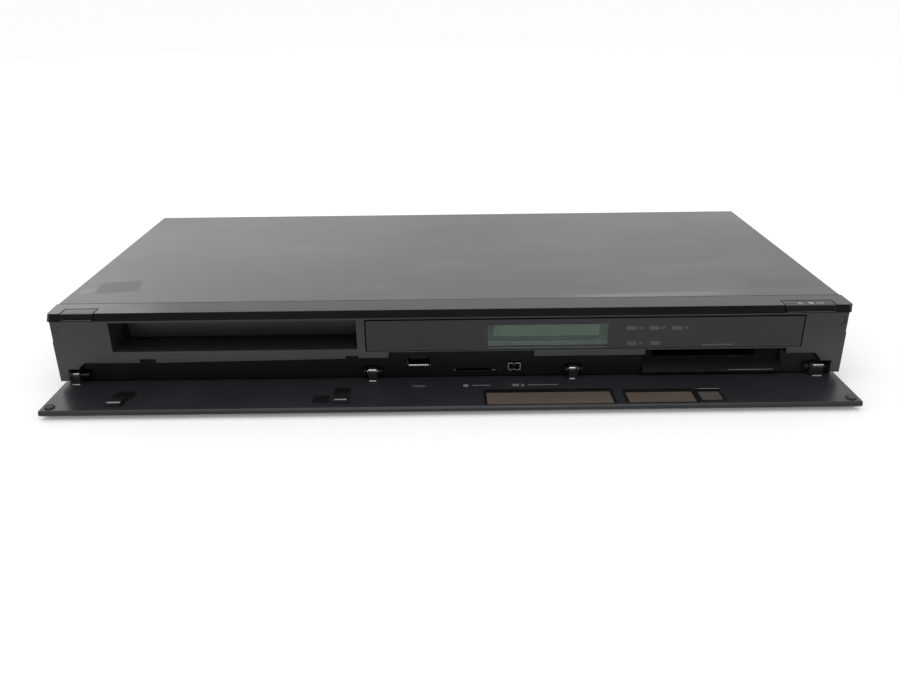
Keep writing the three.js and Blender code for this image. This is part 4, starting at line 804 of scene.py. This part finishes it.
def windowMarks():
    # plain dim blocks in the window: four with a short bar beside them, one alone, and a long bar
    values = {"spots": ((95.5, 34.9), (107.7, 34.8), (120.1, 34.7), (95.9, 25.9), (108.9, 25.9)), "paired": 4,
              "block": (0, 5.6, 0.2, 2.5, 0.6), "bar": (6.6, 8.8, 0.8, 1.9, 0.5),
              "long": (137, 154.5, 25.4, 26.3, 0.3), "lift": 0.02, "depth": 0.1}
    marks = Shape()
    rows = [(spot, values[kind]) for k, spot in enumerate(values["spots"])
            for kind in ("block", "bar")[:2 if k < values["paired"] else 1]]
    for (x, z), (x0, x1, z0, z1, radius) in rows + [((0, 0), values["long"])]:
        marks.plate("y", x + x0, x + x1, z + z0, z + z1, -values["lift"], values["depth"], radius)
    marks.finish("window_marks", dimInk, "smoked_window")


fromNode("fascia", "fascia_moulding", fasciaGrey, fasciaValues["rounding"], 2, sagEdge)
makeWindow()
makeDisplay()
windowMarks()
print("fascia, window and display made")


# Recess, hinge sleeves and front sockets

recessValues = {"edge": 0.2, "slotEdge": 0.25, "sleeveTop": 12.2, "outer": (-209.8, -209.6, -210.8),
                "inner": (-203.6, -201.4, -204.2, -200.1)}


def shiftSleeves(corner):
    # the left hinge's sleeves make room for its arm, which stands further out
    if corner.z < recessValues["sleeveTop"]:
        low, high, end = recessValues["outer"]
        if low < corner.x < high:
            corner.x = end
        low, high, start, end = recessValues["inner"]
        if low < corner.x < high:
            corner.x = start + (corner.x - low) * (end - start) / (high - low)


def makeUsb():
    # a shell with sprung leaves on its floor and roof, bright lips, and a tongue with contacts
    values = {"wall": 0.35, "corner": 0.7, "leaf": (0.8, 3.2, 5.5), "leafIn": 3.4, "leafHalf": 0.9, "rise": 1.6,
              "tongueHalf": (5, 0.9), "contacts": (4, 2.33, 1.0, 6.5, 0.14, 0.1)}
    low, high = boxOf("usb_port")
    front, back, wall = low.y, high.y, values["wall"]
    floor, roof, box = low.z + wall, high.z - wall, (low.x, high.x, low.z, high.z)
    shell = Shape().ring(outlineBox(*box, values["corner"]), outlineBox(*box, values["corner"] / 2, inset=wall),
                         "y", front, back - 0.1, 0.08)
    shell.block((low.x + 0.3, back - 0.6, low.z + 0.3), (high.x - 0.3, back, high.z - 0.3))
    near, tip, far = [front + reach for reach in values["leaf"]]
    for x in (low.x + values["leafIn"], high.x - values["leafIn"]):
        for leaf in ([(near, floor), (far, floor), (tip, floor + 0.5)],
                     [(near, roof), (tip, roof - 0.4), (far, roof)]):
            shell.prism(leaf, "x", x - values["leafHalf"], x + values["leafHalf"])
    shell.finish("usb_shell", shadedSteel, replaces=["usb_port"])
    lip = Shape()
    for x0, x1, z0, z1 in ((low.x + 0.05, low.x + 0.27, low.z + 2.2, low.z + 5.4),
                           (high.x - 0.27, high.x - 0.05, low.z + 0.6, high.z - 0.4)):
        lip.prism([(front - 0.03, z0), (front + 1.5, z0), (front + 1.5, z1),
                   (front - 0.03 + (z1 - z0) * 0.13, z1)], "x", x0, x1)
    lip.prism([(front - 0.02, low.z + 0.5), (front + 1.6, low.z + 0.95), (front + 1.6, low.z + 1.3),
               (front + 0.1, low.z + 1.3)], "x", low.x + 0.8, high.x - 1.1, 0.08).finish("usb_lip", brightSteel)
    middle, y, z = middleOf("usb_port")
    top, (halfX, halfZ) = z + values["rise"], values["tongueHalf"]
    Shape().block((middle - halfX, front + 1.5, top - halfZ), (middle + halfX, back - 0.7, top + halfZ),
                  0.15).finish("usb_tongue", recessBlack)
    bars("usb_contacts", goldContact, (middle - 3.5, front + 7.2, top - 1.02), values["contacts"])


def makeSmallSlot():
    # a round detent, a latch and contacts in the small card slot
    values = {"detent": 12.2, "latch": (8.7, 11.2), "contacts": (9, 2.15, 1.1, 6, 0.3, 0.15)}
    (middle, y, z), front = middleOf("sd_slot"), boxOf("sd_slot")[0].y
    Shape().turned("y", (middle - values["detent"], z), [
        (front - 1.6, 0), (front - 1.5, 0.4), (front - 1.2, 0.75), (front - 0.6, 0.9), (front + 2, 0.9),
        (front + 2, 0)], 16).finish("sd_detent", plainSteel, "bright_steel")
    start, end = values["latch"]
    Shape().prism([(front - 1.4, z - 0.2), (front + 4, z - 1.0), (front + 4, z - 0.5), (front - 1.2, z + 0.25)],
                  "x", middle + start, middle + end, 0.05).finish("sd_latch", brightSteel)
    bars("sd_contacts", goldContact, (middle - 8.6, front + 9, z - 1.2), values["contacts"])


def makeDv():
    # a shell with a dent above and below, and a tongue with contacts
    values = {"topDrop": 0.9, "wall": 0.55, "dent": 0.6, "dentHalf": 0.9, "chamfer": 0.4, "lean": 0.13,
              "tongueHalf": 1.7, "contacts": (4, 0.8, 0.4, 5, 0.12, 0.08)}
    low, high = boxOf("dv_port")
    high.z -= values["topDrop"]
    middle, dent, half, cut = (low.x + high.x) / 2, values["dent"], values["dentHalf"], values["chamfer"]

    def bow(grow):
        x0, x1, z0, z1 = low.x + grow, high.x - grow, low.z + grow, high.z - grow
        return [(x0 + cut, z0), (middle - half, z0), (middle, z0 + dent), (middle + half, z0), (x1 - cut, z0),
                (x1, z0 + cut), (x1, z1 - cut), (x1 - cut, z1), (middle + half, z1), (middle, z1 - dent),
                (middle - half, z1), (x0 + cut, z1), (x0, z1 - cut), (x0, z0 + cut)]

    shell = Shape().ring(bow(0), bow(values["wall"]), "y", low.y, high.y - 0.1, 0.06)
    for vertex in shell.mesh.verts:   # its front leans back, and so shows the floor's light
        if vertex.co.y < low.y + 0.5:
            vertex.co.y += (vertex.co.z - low.z) * values["lean"]
    shell.block((low.x + 0.6, high.y - 0.5, low.z + 0.6), (high.x - 0.6, high.y, high.z - 0.6))
    shell.finish("dv_shell", plainSteel, "bright_steel", replaces=["dv_port"])
    z, half = (low.z + high.z) / 2, values["tongueHalf"]
    Shape().block((middle - half, low.y + 1, z - 0.5), (middle + half, high.y - 0.6, z + 0.5), 0.1).finish(
        "dv_tongue", recessBlack)
    bars("dv_contacts", goldContact, (middle - 1.2, low.y + 5.7, z + 0.48), values["contacts"])


def makeHingeBands():
    # a bright steel band over each hinge knuckle, and at the arm's foot a steel fillet as a painted reflection of
    # the band in the flap
    values = {"radius": 2.6, "lift": 0.12, "from": 20, "to": 46, "steps": 4, "armFront": 1.7, "foot": 0.46,
              "spans": ((-210.2, -205.4), (-45.2, -41.0), (66.1, 69.3), (201.2, 206.8)),
              "sleeves": ((-204.3, -200.4), (207.2, 209.0)), "sleeveRadius": 1.5}
    x, y, z = middleOf("hinge_pin_1")
    face = boxOf("flap_window_1")[1].z
    turns = [math.radians(values["from"] + (values["to"] - values["from"]) * k / values["steps"])
             for k in range(values["steps"] + 1)]

    def arcOver(radius):
        return [(y - r * math.cos(turn), z + r * math.sin(turn))
                for r, row in ((radius - 0.1, turns), (radius + values["lift"], turns[::-1])) for turn in row]

    foot, front = values["foot"], values["armFront"]
    fillet = [(front + 0.1, face - 0.1), (front - foot, face - 0.1), (front - foot * 0.75, face + foot * 0.35),
              (front - foot * 0.35, face + foot * 0.75), (front + 0.1, face + foot)]
    bands, fillets, sleeves = Shape(), Shape(), Shape()
    for x0, x1 in values["spans"]:
        bands.prism(arcOver(values["radius"]), "x", x0, x1)
        fillets.prism(fillet, "x", x0 + 0.2, x1 - 0.2)
    for x0, x1 in values["sleeves"]:
        sleeves.prism(arcOver(values["sleeveRadius"]), "x", x0, x1)
    bands.finish("hinge_bands", brightSteel, body="flap")
    fillets.finish("hinge_fillets", plainSteel, "bright_steel", "flap")
    sleeves.finish("hinge_sleeves", shadedSteel)


def makeWideSlot():
    # a round steel lip under part of the wide card slot, and its contacts
    values = {"lip": (154.8, 179.8), "lipZ": 8.55, "lipRadius": 0.3, "contacts": (25, 2.2, 0.9, 8, 0.3, 0.15)}
    front = boxOf("card_reader")[0].y
    Shape().prism(circle(front + 0.55, values["lipZ"], values["lipRadius"], 12), "x", *values["lip"], 0.08,
                  50).finish("card_lip", plainSteel)
    bars("card_contacts", goldContact, (115.5, front + 22, 15.5), values["contacts"])


fromNodes(("port_panel", "recess_moulding", recessBlack, recessValues["edge"], 2, shiftSleeves),
          ("card_reader", "card_slot", slotBlack, recessValues["slotEdge"]))
makeUsb()
makeSmallSlot()
makeDv()
makeHingeBands()
makeWideSlot()
dress(brightSteel, "hinge_pin_1", "hinge_pin_2", "hinge_pin_3", "hinge_pin_4")
dress(plainSteel, "sd_slot")
print("recess and sockets made")


# Flap

flapValues = {"edge": 0.3, "face": 5.4, "pocketDepth": 0.7, "ribShift": 1.7, "ribSpan": (-184, -172),
              "armShift": 1.1, "armSpan": (-211, -203), "studEdge": 0.25,
              "pockets": ((-182, -170, -18, -6.4, 4.2), (-63.2, -54, -13.6, -5.2, 2.2),
                          (-73.5, -64.6, -23.7, -13.6, 2.2))}
flapFace = flapValues["face"]


def shiftRib(corner):
    # the left rib stands a little further in, and the left hinge arm further out
    (armLow, armHigh), (ribLow, ribHigh) = flapValues["armSpan"], flapValues["ribSpan"]
    if armLow < corner.x < armHigh and corner.y > 1.6 and corner.z > flapFace - 0.05:
        corner.x -= flapValues["armShift"]
    if corner.z > flapFace + 0.2 and ribLow < corner.x < ribHigh and corner.y < -5:
        corner.x += flapValues["ribShift"]


def pocketForms(start, end, inset=0.0):
    for x0, x1, y0, y1, radius in flapValues["pockets"]:
        yield outlineBox(x0, x1, y0, y1, radius - inset, 6, inset), "z", start, end


def makePanes():
    # tinted panes in the flap, the third in a shaded copy as painted shade, each with a black rim round it and a
    # black strip behind it as painted shade of its recess walls
    values = {"thick": (1.1, 0.15), "side": 1.3, "sideShare": 0.1, "backShare": 0.13, "front": 0.7, "back": 1.2,
              "inner": 0.3, "rimLift": 0.03, "beadLift": 0.05}
    rims, under = Shape(), flapFace - 0.1
    for k, look in ((1, brownPane), (2, brownPane), (3, dullPane)):
        node = "flap_window_%d" % k
        low, high = boxOf(node)
        start, end = [flapFace - depth for depth in values["thick"]]
        Shape().plate("z", low.x, high.x, low.y, high.y, start, end, 0.4, 0.08).finish(
            "flap_pane_%d" % k, look, body="flap", replaces=[node])
        side, inner = min(values["side"], values["sideShare"] * (high.x - low.x)), values["inner"]
        back, behind = values["backShare"] * (high.y - low.y), high.y + values["back"]
        rims.ring(outlineBox(low.x - side, high.x + side, low.y - values["front"], behind, 0.5),
                  outlineBox(low.x + inner, high.x - inner, low.y + inner, high.y - back, 0.5), "z",
                  under, flapFace + values["rimLift"], 0)
        rims.plate("z", low.x, high.x, behind, high.y + 1.6, under, flapFace + values["beadLift"])
    rims.finish("flap_rims", rimBlack, body="flap")


def makeFlap():
    # the moulding with its pockets, whose floors are black as painted shade, panes, a catch, and pale strips as
    # painted highlights on the ribs' front edges and behind the third pane
    values = {"catch": ((-47.8, -25.3, 5.3), (-45.4, -24.3, 5.72)), "ribFront": (-25.12, -24.4), "ribTop": 8.16,
              "ribs": ((-180.4, -173.3, 7.5), (-61.0, -54.5, 7.8)), "lightEdge": (1.2, 1.7, 1.1, 2.1),
              "lightZ": (5.3, 5.48)}
    low = flapFace - flapValues["pocketDepth"]
    cuts = [Shape().prism(*form) for form in pocketForms(low, flapFace + 1.5)]
    fromNode("flap_panel", "flap_moulding", flapBlack, flapValues["edge"], 3, shiftRib, cuts)
    makePanes()
    Shape().block(*values["catch"], 0.12).finish("flap_catch", flapBlack, body="flap")
    # black pocket floors, as painted shade
    floors = Shape()
    for form in pocketForms(low - 0.1, low + 0.05, 0.2):
        floors.prism(*form)
    floors.finish("pocket_floors", rimBlack, body="flap")
    # pale strips, as painted highlights on the ribs' front edges and behind the third pane
    wornAndLit, (front, back) = Shape(), values["ribFront"]
    for x0, x1, z0 in values["ribs"]:
        wornAndLit.block((x0, front, z0), (x1, back, values["ribTop"]), 0.1)
    low, high = boxOf("flap_window_3")
    (x0, y0, x1, y1), (z0, z1) = values["lightEdge"], values["lightZ"]
    wornAndLit.block((low.x + x0, high.y + y0, z0), (high.x + x1, high.y + y1, z1), 0.04)
    wornAndLit.finish("rib_edges", wornPlastic, body="flap")


def flapPrints():
    # plain marks in front of the sockets: a bar with a knob, a card and a bar, and a block, wedge and bar
    values = {"row": -5.2, "bottom": 5.38, "lift": 0.02,
              "marks": ((-20.4, -13.8, 0.45, 0.3), (-18.0, -16.2, 1.1, 0.6),
                        ((7.0, -1.6), (9.8, -1.6), (9.8, 1.6), (7.9, 1.6), (7.0, 0.8)), (12.0, 21.8, 0.5, 0.4),
                        (34.0, 37.6, 1.3, 0.3), ((39, -1.5), (40.8, -1.5), (39.6, 1.5), (39, 1.5)),
                        (42.6, 59, 0.4, 0.3))}
    row, marks = values["row"], Shape()
    for mark in values["marks"]:
        if isinstance(mark[0], tuple):
            outline = [(x, row + y) for x, y in mark]
        else:
            x0, x1, half, radius = mark
            outline = outlineBox(x0, x1, row - half, row + half, radius)
        marks.prism(outline, "z", values["bottom"], flapFace + values["lift"])
    marks.finish("flap_prints", flapInk, body="flap")


makeFlap()
flapPrints()
fromNodes(("flap_bumper_left", "bumper_left", studRubber, flapValues["studEdge"], 3),
          ("flap_bumper_right", "bumper_right", studRubber, flapValues["studEdge"], 3))
print("flap made")


# Cover, rear and base

def makePanLip():
    # a black lip of the pan under the fascia, with a higher end at each side; its black is painted shade
    values = {"profile": ((7.7, 5.5), (8.5, 5.5), (8.5, 3.3), (8.1, 3.1), (7.7, 3.3)), "halfWidth": 213.2,
              "ends": ((-214.2, -211), (210.4, 214.2)), "endY": (7.75, 8.45), "endZ": (3.4, 8.8), "edge": 0.1}
    lip = Shape().prism(values["profile"], "x", -values["halfWidth"], values["halfWidth"], values["edge"])
    (y0, y1), (z0, z1) = values["endY"], values["endZ"]
    for x0, x1 in values["ends"]:
        lip.block((x0, y0, z0), (x1, y1, z1), values["edge"])
    lip.finish("pan_lip", rimBlack, "black_plastic")


fromNodes(("top_cover", "cover_sheet", coverLook, 0.12, 1), ("rear_panel", "rear_sheet", rearSteel, 0),
          ("base_pan", "pan_sheet", panSteel, 0), ("cover_screw_1", "cover_bolt_1", plainSteel, 0.15),
          ("cover_screw_2", "cover_bolt_2", plainSteel, 0.15))
makePanLip()
fromNodes(*[("foot_" + corner, "foot_pad_" + corner, rubberBlack, 0.4, 3)
            for corner in ("front_left", "front_right", "back_left", "back_right")])
print("shell made")
rearFace = boxOf("rear_panel")[1].y


def hexagon(x, z, radius, sides=36):
    # an outline of a nut with several points on each side
    points = []
    for k in range(sides):
        turn = math.tau * k / sides
        reach = radius * math.cos(math.pi / 6) / math.cos((turn + 1e-9) % (math.pi / 3) - math.pi / 6)
        points.append((x + reach * math.cos(turn), z + reach * math.sin(turn)))
    return points


def rearDetails():
    # screws, and two threaded jacks with their nuts
    values = {"spots": ((-205, 14), (-150, 14), (-60, 14), (-60, 36), (44, 14), (122, 38), (157, 36), (206, 12)),
              "screw": (2.6, 1.2), "jackHalf": 8, "nutRadius": 6.4, "nut": 1.8, "hole": 4.55,
              "threads": (7, (0, 0.62, 0), 9.1, 9.1, 4.5, 0.16)}
    screws("rear_screws", [(x, rearFace, z) for x, z in values["spots"]], *values["screw"], (-math.pi / 2, 0, 0))
    middle, y, z = middleOf("tuner_can")
    nuts, end = Shape(), rearFace + values["nut"]
    for k, x in enumerate((middle - values["jackHalf"], middle + values["jackHalf"])):
        outer = hexagon(x, z, values["nutRadius"])
        nuts.ring(outer, circle(x, z, values["hole"], len(outer)), "y", rearFace + 0.05, end, 0.15)
        hoops("jack_threads_%d" % (k + 1), brightSteel, (x, end + 0.3, z), values["threads"],
              (math.pi / 2, 0, 0))
    nuts.finish("jack_nuts", brightSteel, "plain_steel")


def rearSockets():
    # contacts in the network socket, the tongue of the display socket, and frames round these and the jacks
    values = {"lan": (8, 1.25, 0.5, 9, 0.35, 0.1), "hdmi": (10, 0.96, 0.42, 5, 0.14, 0.08),
              "frame": (2.2, 1.8, 1.2), "opening": (1.4, 1, 0.8), "lift": 0.22}
    low, high = boxOf("lan_port")
    bars("lan_contacts", goldContact, (low.x + 3.6, high.y - 7, high.z - 2.1), values["lan"])
    Shape().block((low.x + 1.4, low.y + 2, high.z - 1.75), (high.x - 1.4, high.y - 1.5, high.z - 1.3), 0.1).finish(
        "lan_liner", driveBlack)
    low, high = boxOf("hdmi_port")
    z = (low.z + high.z) / 2
    Shape().block((low.x + 2.2, low.y + 1, z - 0.5), (high.x - 2.2, high.y - 1.2, z + 0.7), 0.12).finish(
        "hdmi_tongue", driveBlack)
    bars("hdmi_contacts", goldContact, (low.x + 3.2, high.y - 4.2, z - 0.62), values["hdmi"])
    frames = Shape()
    for low, high in map(boxOf, ("lan_port", "hdmi_port", "tuner_can")):
        outer, inner = [outlineBox(low.x - side, high.x + side, low.z - over, high.z + over, radius)
                        for side, over, radius in (values["frame"], values["opening"])]
        frames.ring(outer, inner, "y", rearFace - 0.1, rearFace + values["lift"], 0.08)
    frames.finish("rear_frames", rearSteel)


def stampedDetails():
    # a row of black bars on the rear as painted shade of blind stamped slots, and stiffening beads and screws under
    # the pan
    values = {"slots": (18, 5, 2.4, 16, 0.09, 1.1), "slotStart": (-170, 26), "beads": (6, 24, 5, 96, -0.75, 2.4),
              "beadStart": (-150, 104), "screw": (2.8, 1.3), "screwX": (-198, -60, 60, 198), "screwY": (52, 186)}
    (x, z), under = values["slotStart"], boxOf("base_pan")[0].z
    bars("rear_dimples", rimBlack, (x, rearFace - 0.06, z), values["slots"], backward)
    bars("pan_beads", panSteel, (*values["beadStart"], under + 0.15), values["beads"])
    screws("pan_screws", [(x, y, under) for x in values["screwX"] for y in values["screwY"]], *values["screw"],
           (math.pi, 0, 0))


rearDetails()
rearSockets()
stampedDetails()
print("rear and base details made")


# Disc drive

def trayLip():
    values = {"left": 22, "right": 8, "front": 0.35, "bottom": 26.1, "top": 26.5}
    low, high = boxOf("tray_bezel")
    Shape().block((low.x + values["left"], low.y - values["front"], values["bottom"]),
                  (high.x - values["right"], low.y + 0.1, values["top"]), 0.1).finish(
        "tray_lip", trayGrey, body="tray")


def stampedRing(name, centre, base, lift, radii):
    # a low ring: its radii are the outer edge's, the top's from and to, and the inner edge's
    r0, r1, r2, r3 = radii
    Shape().turned("z", centre, [(base, r0), (lift, r1), (lift, r2), (base, r3)], 48, True).finish(name, plainSteel)


def driveDetails():
    # a stamped ring, screws and beads on the drive's lid
    values = {"ringY": 87, "ring": (27, 27.6, 29.4, 30), "ringLift": 0.35, "screw": (2.4, 1.0),
              "beads": (5, 20, 4, 34, 0.5, 1.9)}
    low, high = boxOf("drive_lid")
    stampedRing("lid_ring", ((low.x + high.x) / 2, values["ringY"]), high.z - 0.1, high.z + values["ringLift"],
                values["ring"])
    screws("lid_screws", [(x, y, high.z) for x in (low.x + 5, high.x - 5) for y in (low.y + 6, high.y - 6)],
           *values["screw"])
    bars("lid_beads", plainSteel, (low.x + 34, high.y - 32, high.z - 0.1), values["beads"])


fromNodes(("tray", "tray_moulding", driveBlack, 0.2), ("tray_bezel", "tray_front", trayGrey, 0.35, 3))
trayLip()
fromNodes(("drive_case", "drive_shell", driveBlack, 0.25), ("drive_lid", "drive_cover", plainSteel, 0.15),
          ("disc_clamp", "clamp_puck", whitePlastic, 0.3), ("turntable", "spindle_table", driveBlack, 0.25),
          ("pickup", "pickup_sled", castMetal, 0.3))
dress(driveBlack, "traverse_frame")
dress(plainSteel, "loading_motor", "spindle_motor")
dress(brightSteel, "guide_rod_left", "guide_rod_right", "sled_screw")
dress(whitePlastic, "loading_gear")
driveDetails()
print("disc drive made")


# Electronics

def diskDetails():
    # the hard drive's plate, ring, screws and plug
    values = {"plate": 0.6, "corner": 4, "inset": 3, "ringY": 52, "ring": (16, 16.6, 18.4, 19), "ringLift": 1.0,
              "screw": (2.2, 0.9), "contacts": (15, 2.2, 0.7, 3, 0.3, 0.1)}
    low, high = boxOf("hard_drive")
    top, middle = high.z + values["plate"], (low.x + high.x) / 2
    Shape().plate("z", low.x, high.x, low.y, high.y, high.z - 0.05, top, values["corner"], 0.15,
                  values["inset"]).finish("disk_plate", brightSteel, "plain_steel")
    stampedRing("disk_ring", (middle, low.y + values["ringY"]), high.z + 0.5, high.z + values["ringLift"],
                values["ring"])
    screws("disk_screws", [(x, y, top) for x in (low.x + 7, high.x - 7)
                           for y in (low.y + 8, low.y + 72, high.y - 8)], *values["screw"])
    Shape().block((middle - 22, high.y - 0.5, low.z + 3), (middle + 14, high.y + 3, low.z + 8), 0.3).finish(
        "disk_plug", driveBlack)
    bars("disk_contacts", goldContact, (middle - 20, high.y + 2.9, low.z + 5.5), values["contacts"], backward)


def boardDetails():
    # chips and small parts on free board areas, a wound coil, and the capacitor's metal top.
    # A field holds name, look, middle, width, length, parts per square metre, seed, least and most height.
    values = {"fields": (("main_chips", driveBlack, (111, 136), 74, 20, 9000, 4, 0.8, 1.6),
                         ("main_parts", plainSteel, (111, 136), 74, 20, 16000, 9, 0.4, 0.9),
                         ("power_parts", driveBlack, (182, 94), 36, 44, 5000, 5, 1.5, 5.5),
                         ("power_links", plainSteel, (182, 94), 36, 44, 9000, 12, 0.5, 1.4)),
              "coil": (13, (0, 0, 1.05), 34.6, 22.4, 2, 0.5), "capRadii": (8.8, 7.4, 7.1), "capLift": 0.15}
    top = boxOf("main_board")[1].z
    for name, look, middle, width, length, density, seed, low, high in values["fields"]:
        runTree(boardParts, name, look, {
            "Middle": place(*middle, top), "Width": width * mm, "Length": length * mm, "Density": density,
            "Seed": seed, "Low": low, "High": high})
    x, y, z = middleOf("transformer")
    turns, step = values["coil"][:2]
    hoops("coil_winding", coilTape, (x, y, z - step[2] * (turns // 2)), values["coil"])
    x, y, z = middleOf("capacitor")
    high, (outer, rim, dish) = boxOf("capacitor")[1].z, values["capRadii"]
    lift = high + values["capLift"]
    Shape().turned("z", (x, y), [(high - 0.2, 0), (high - 0.2, outer), (lift, outer), (lift, rim),
                                 (high - 0.05, dish), (high - 0.05, 0)], 32).finish("capacitor_top", plainSteel)


fromNodes(("hard_drive", "disk_unit", castMetal, 0.5), ("heat_sink", "sink_fins", castMetal, 0.12, 1),
          ("transformer", "transformer_core", rearSteel, 0.2),
          ("capacitor", "capacitor_sleeve", sleeveBlue, 0.6, 3), ("tuner_can", "tuner_box", plainSteel, 0.2),
          ("hdmi_port", "hdmi_shell", plainSteel, 0.1), ("lan_port", "lan_shell", plainSteel, 0.15),
          ("ac_inlet", "inlet_body", driveBlack, 0.3), ("fan_frame", "fan_housing", driveBlack, 0.3),
          ("fan_rotor", "fan_blades", driveBlack, 0.15, 1))
dress(boardGreen, "main_board", "power_board", "front_board")
dress(driveBlack, "power_switch", "eject_switch")
diskDetails()
boardDetails()
print("electronics made")


# Studio

studio = {"worldFill": 0.86, "floorSeen": 0.98, "floorLift": 0.13, "floorBounce": 0.82, "floorReach": 60,
          "flagLevel": 0.1, "flagY": -1.5, "flagHalf": 1.7, "flagBottom": 0.002, "flagTop": 1.35}
lampValues = (
    {"name": "stripLamp", "spot": (-0.2, -0.75, 1.8), "power": 5.5, "size": (1.6, 0.14)},
    {"name": "sheenLamp", "spot": (-1.5, 1.9, 1.0), "power": 3.2, "size": (1.1, 1.1)},
)
cameraValues = {"spot": (-0.48412, -404.13658, 205.03484), "yaw": -0.00152, "pitch": 0.40467, "roll": -0.01157,
                "focal": 812.0803, "imageWidth": 900, "sensor": 36}
mirrored = ("Is Glossy Ray", "Is Transmission Ray")


def seenRays(graph, also=()):
    # rays seen by the camera, and those of the kinds in also
    rays = graph.node("LightPath").socket.node.outputs
    seen = Wire(graph, rays["Is Camera Ray"])
    for name in also:
        seen = graph.maths("MAXIMUM", seen, Wire(graph, rays[name]))
    return seen


def makeWorld():
    world = bpy.data.worlds.new("studioWorld")
    bpy.context.scene.world = world
    world.use_nodes = True
    graph = Graph(world.node_tree)
    back = world.node_tree.nodes["Background"]
    back.inputs["Color"].default_value = (1, 1, 1, 1)
    fill = studio["worldFill"]
    graph.link(back.inputs["Strength"], fill + seenRays(graph, mirrored) * (1 - fill))


def card(name, graph, corners):
    data = bpy.data.meshes.new(name)
    data.from_pydata(corners, [], [(0, 1, 2, 3)])
    data.materials.append(graph.look)
    made = addObject(name, data)
    return made


def makeFloor():
    graph = newMaterial("floorPaper", {"Roughness": 0.9, "Specular IOR Level": 0.0, "Emission Color": (1, 1, 1, 1)})
    bounce, seen, reach = [studio[key] for key in ("floorBounce", "floorSeen", "floorReach")]
    graph.link(graph.shader.inputs["Base Color"], bounce + seenRays(graph, mirrored) * (seen - bounce))
    graph.link(graph.shader.inputs["Emission Strength"], seenRays(graph) * studio["floorLift"])
    card("floor", graph, [(-reach, -reach, 0), (reach, -reach, 0), (reach, reach, 0), (-reach, reach, 0)])


def makeLamps():
    for row in lampValues:
        lamp = bpy.data.lights.new(row["name"], "AREA")
        lamp.shape = "RECTANGLE"
        lamp.energy = row["power"]
        lamp.size, lamp.size_y = row["size"]
        holder = addObject(row["name"], lamp)
        holder.location = row["spot"]
        holder.rotation_euler = (-Vector(row["spot"])).to_track_quat("-Z", "Y").to_euler()


def makeFlag():
    # a dark card in front of the recorder, seen only in its reflections
    x, y, z0, z1 = [studio[key] for key in ("flagHalf", "flagY", "flagBottom", "flagTop")]
    level = studio["flagLevel"]
    graph = newMaterial("flagCloth", {
        "Roughness": 1.0, "Specular IOR Level": 0.0, "Base Color": (0, 0, 0, 1), "Emission Strength": 1.0,
        "Emission Color": (level, level, level, 1)})
    flag = card("flag", graph, [(-x, y, z0), (x, y, z0), (x, y, z1), (-x, y, z1)])
    flag.visible_camera = flag.visible_diffuse = flag.visible_shadow = flag.visible_transmission = False


def makeCamera():
    values = cameraValues
    lens = bpy.data.cameras.new("view")
    lens.sensor_fit = "HORIZONTAL"
    lens.sensor_width = values["sensor"]
    lens.lens = values["focal"] * values["sensor"] / values["imageWidth"]
    camera = addObject("view", lens)
    turn = Matrix.Translation(place(*values["spot"]))
    for angle, axis in ((values["yaw"], "Z"), (math.pi / 2 - values["pitch"], "X"), (values["roll"], "Z")):
        turn = turn @ Matrix.Rotation(angle, 4, axis)
    camera.matrix_world = turn
    bpy.context.scene.camera = camera


makeWorld()
makeFloor()
makeLamps()
makeFlag()
makeCamera()
bpy.context.scene.view_settings.view_transform = "Standard"
print("studio made")
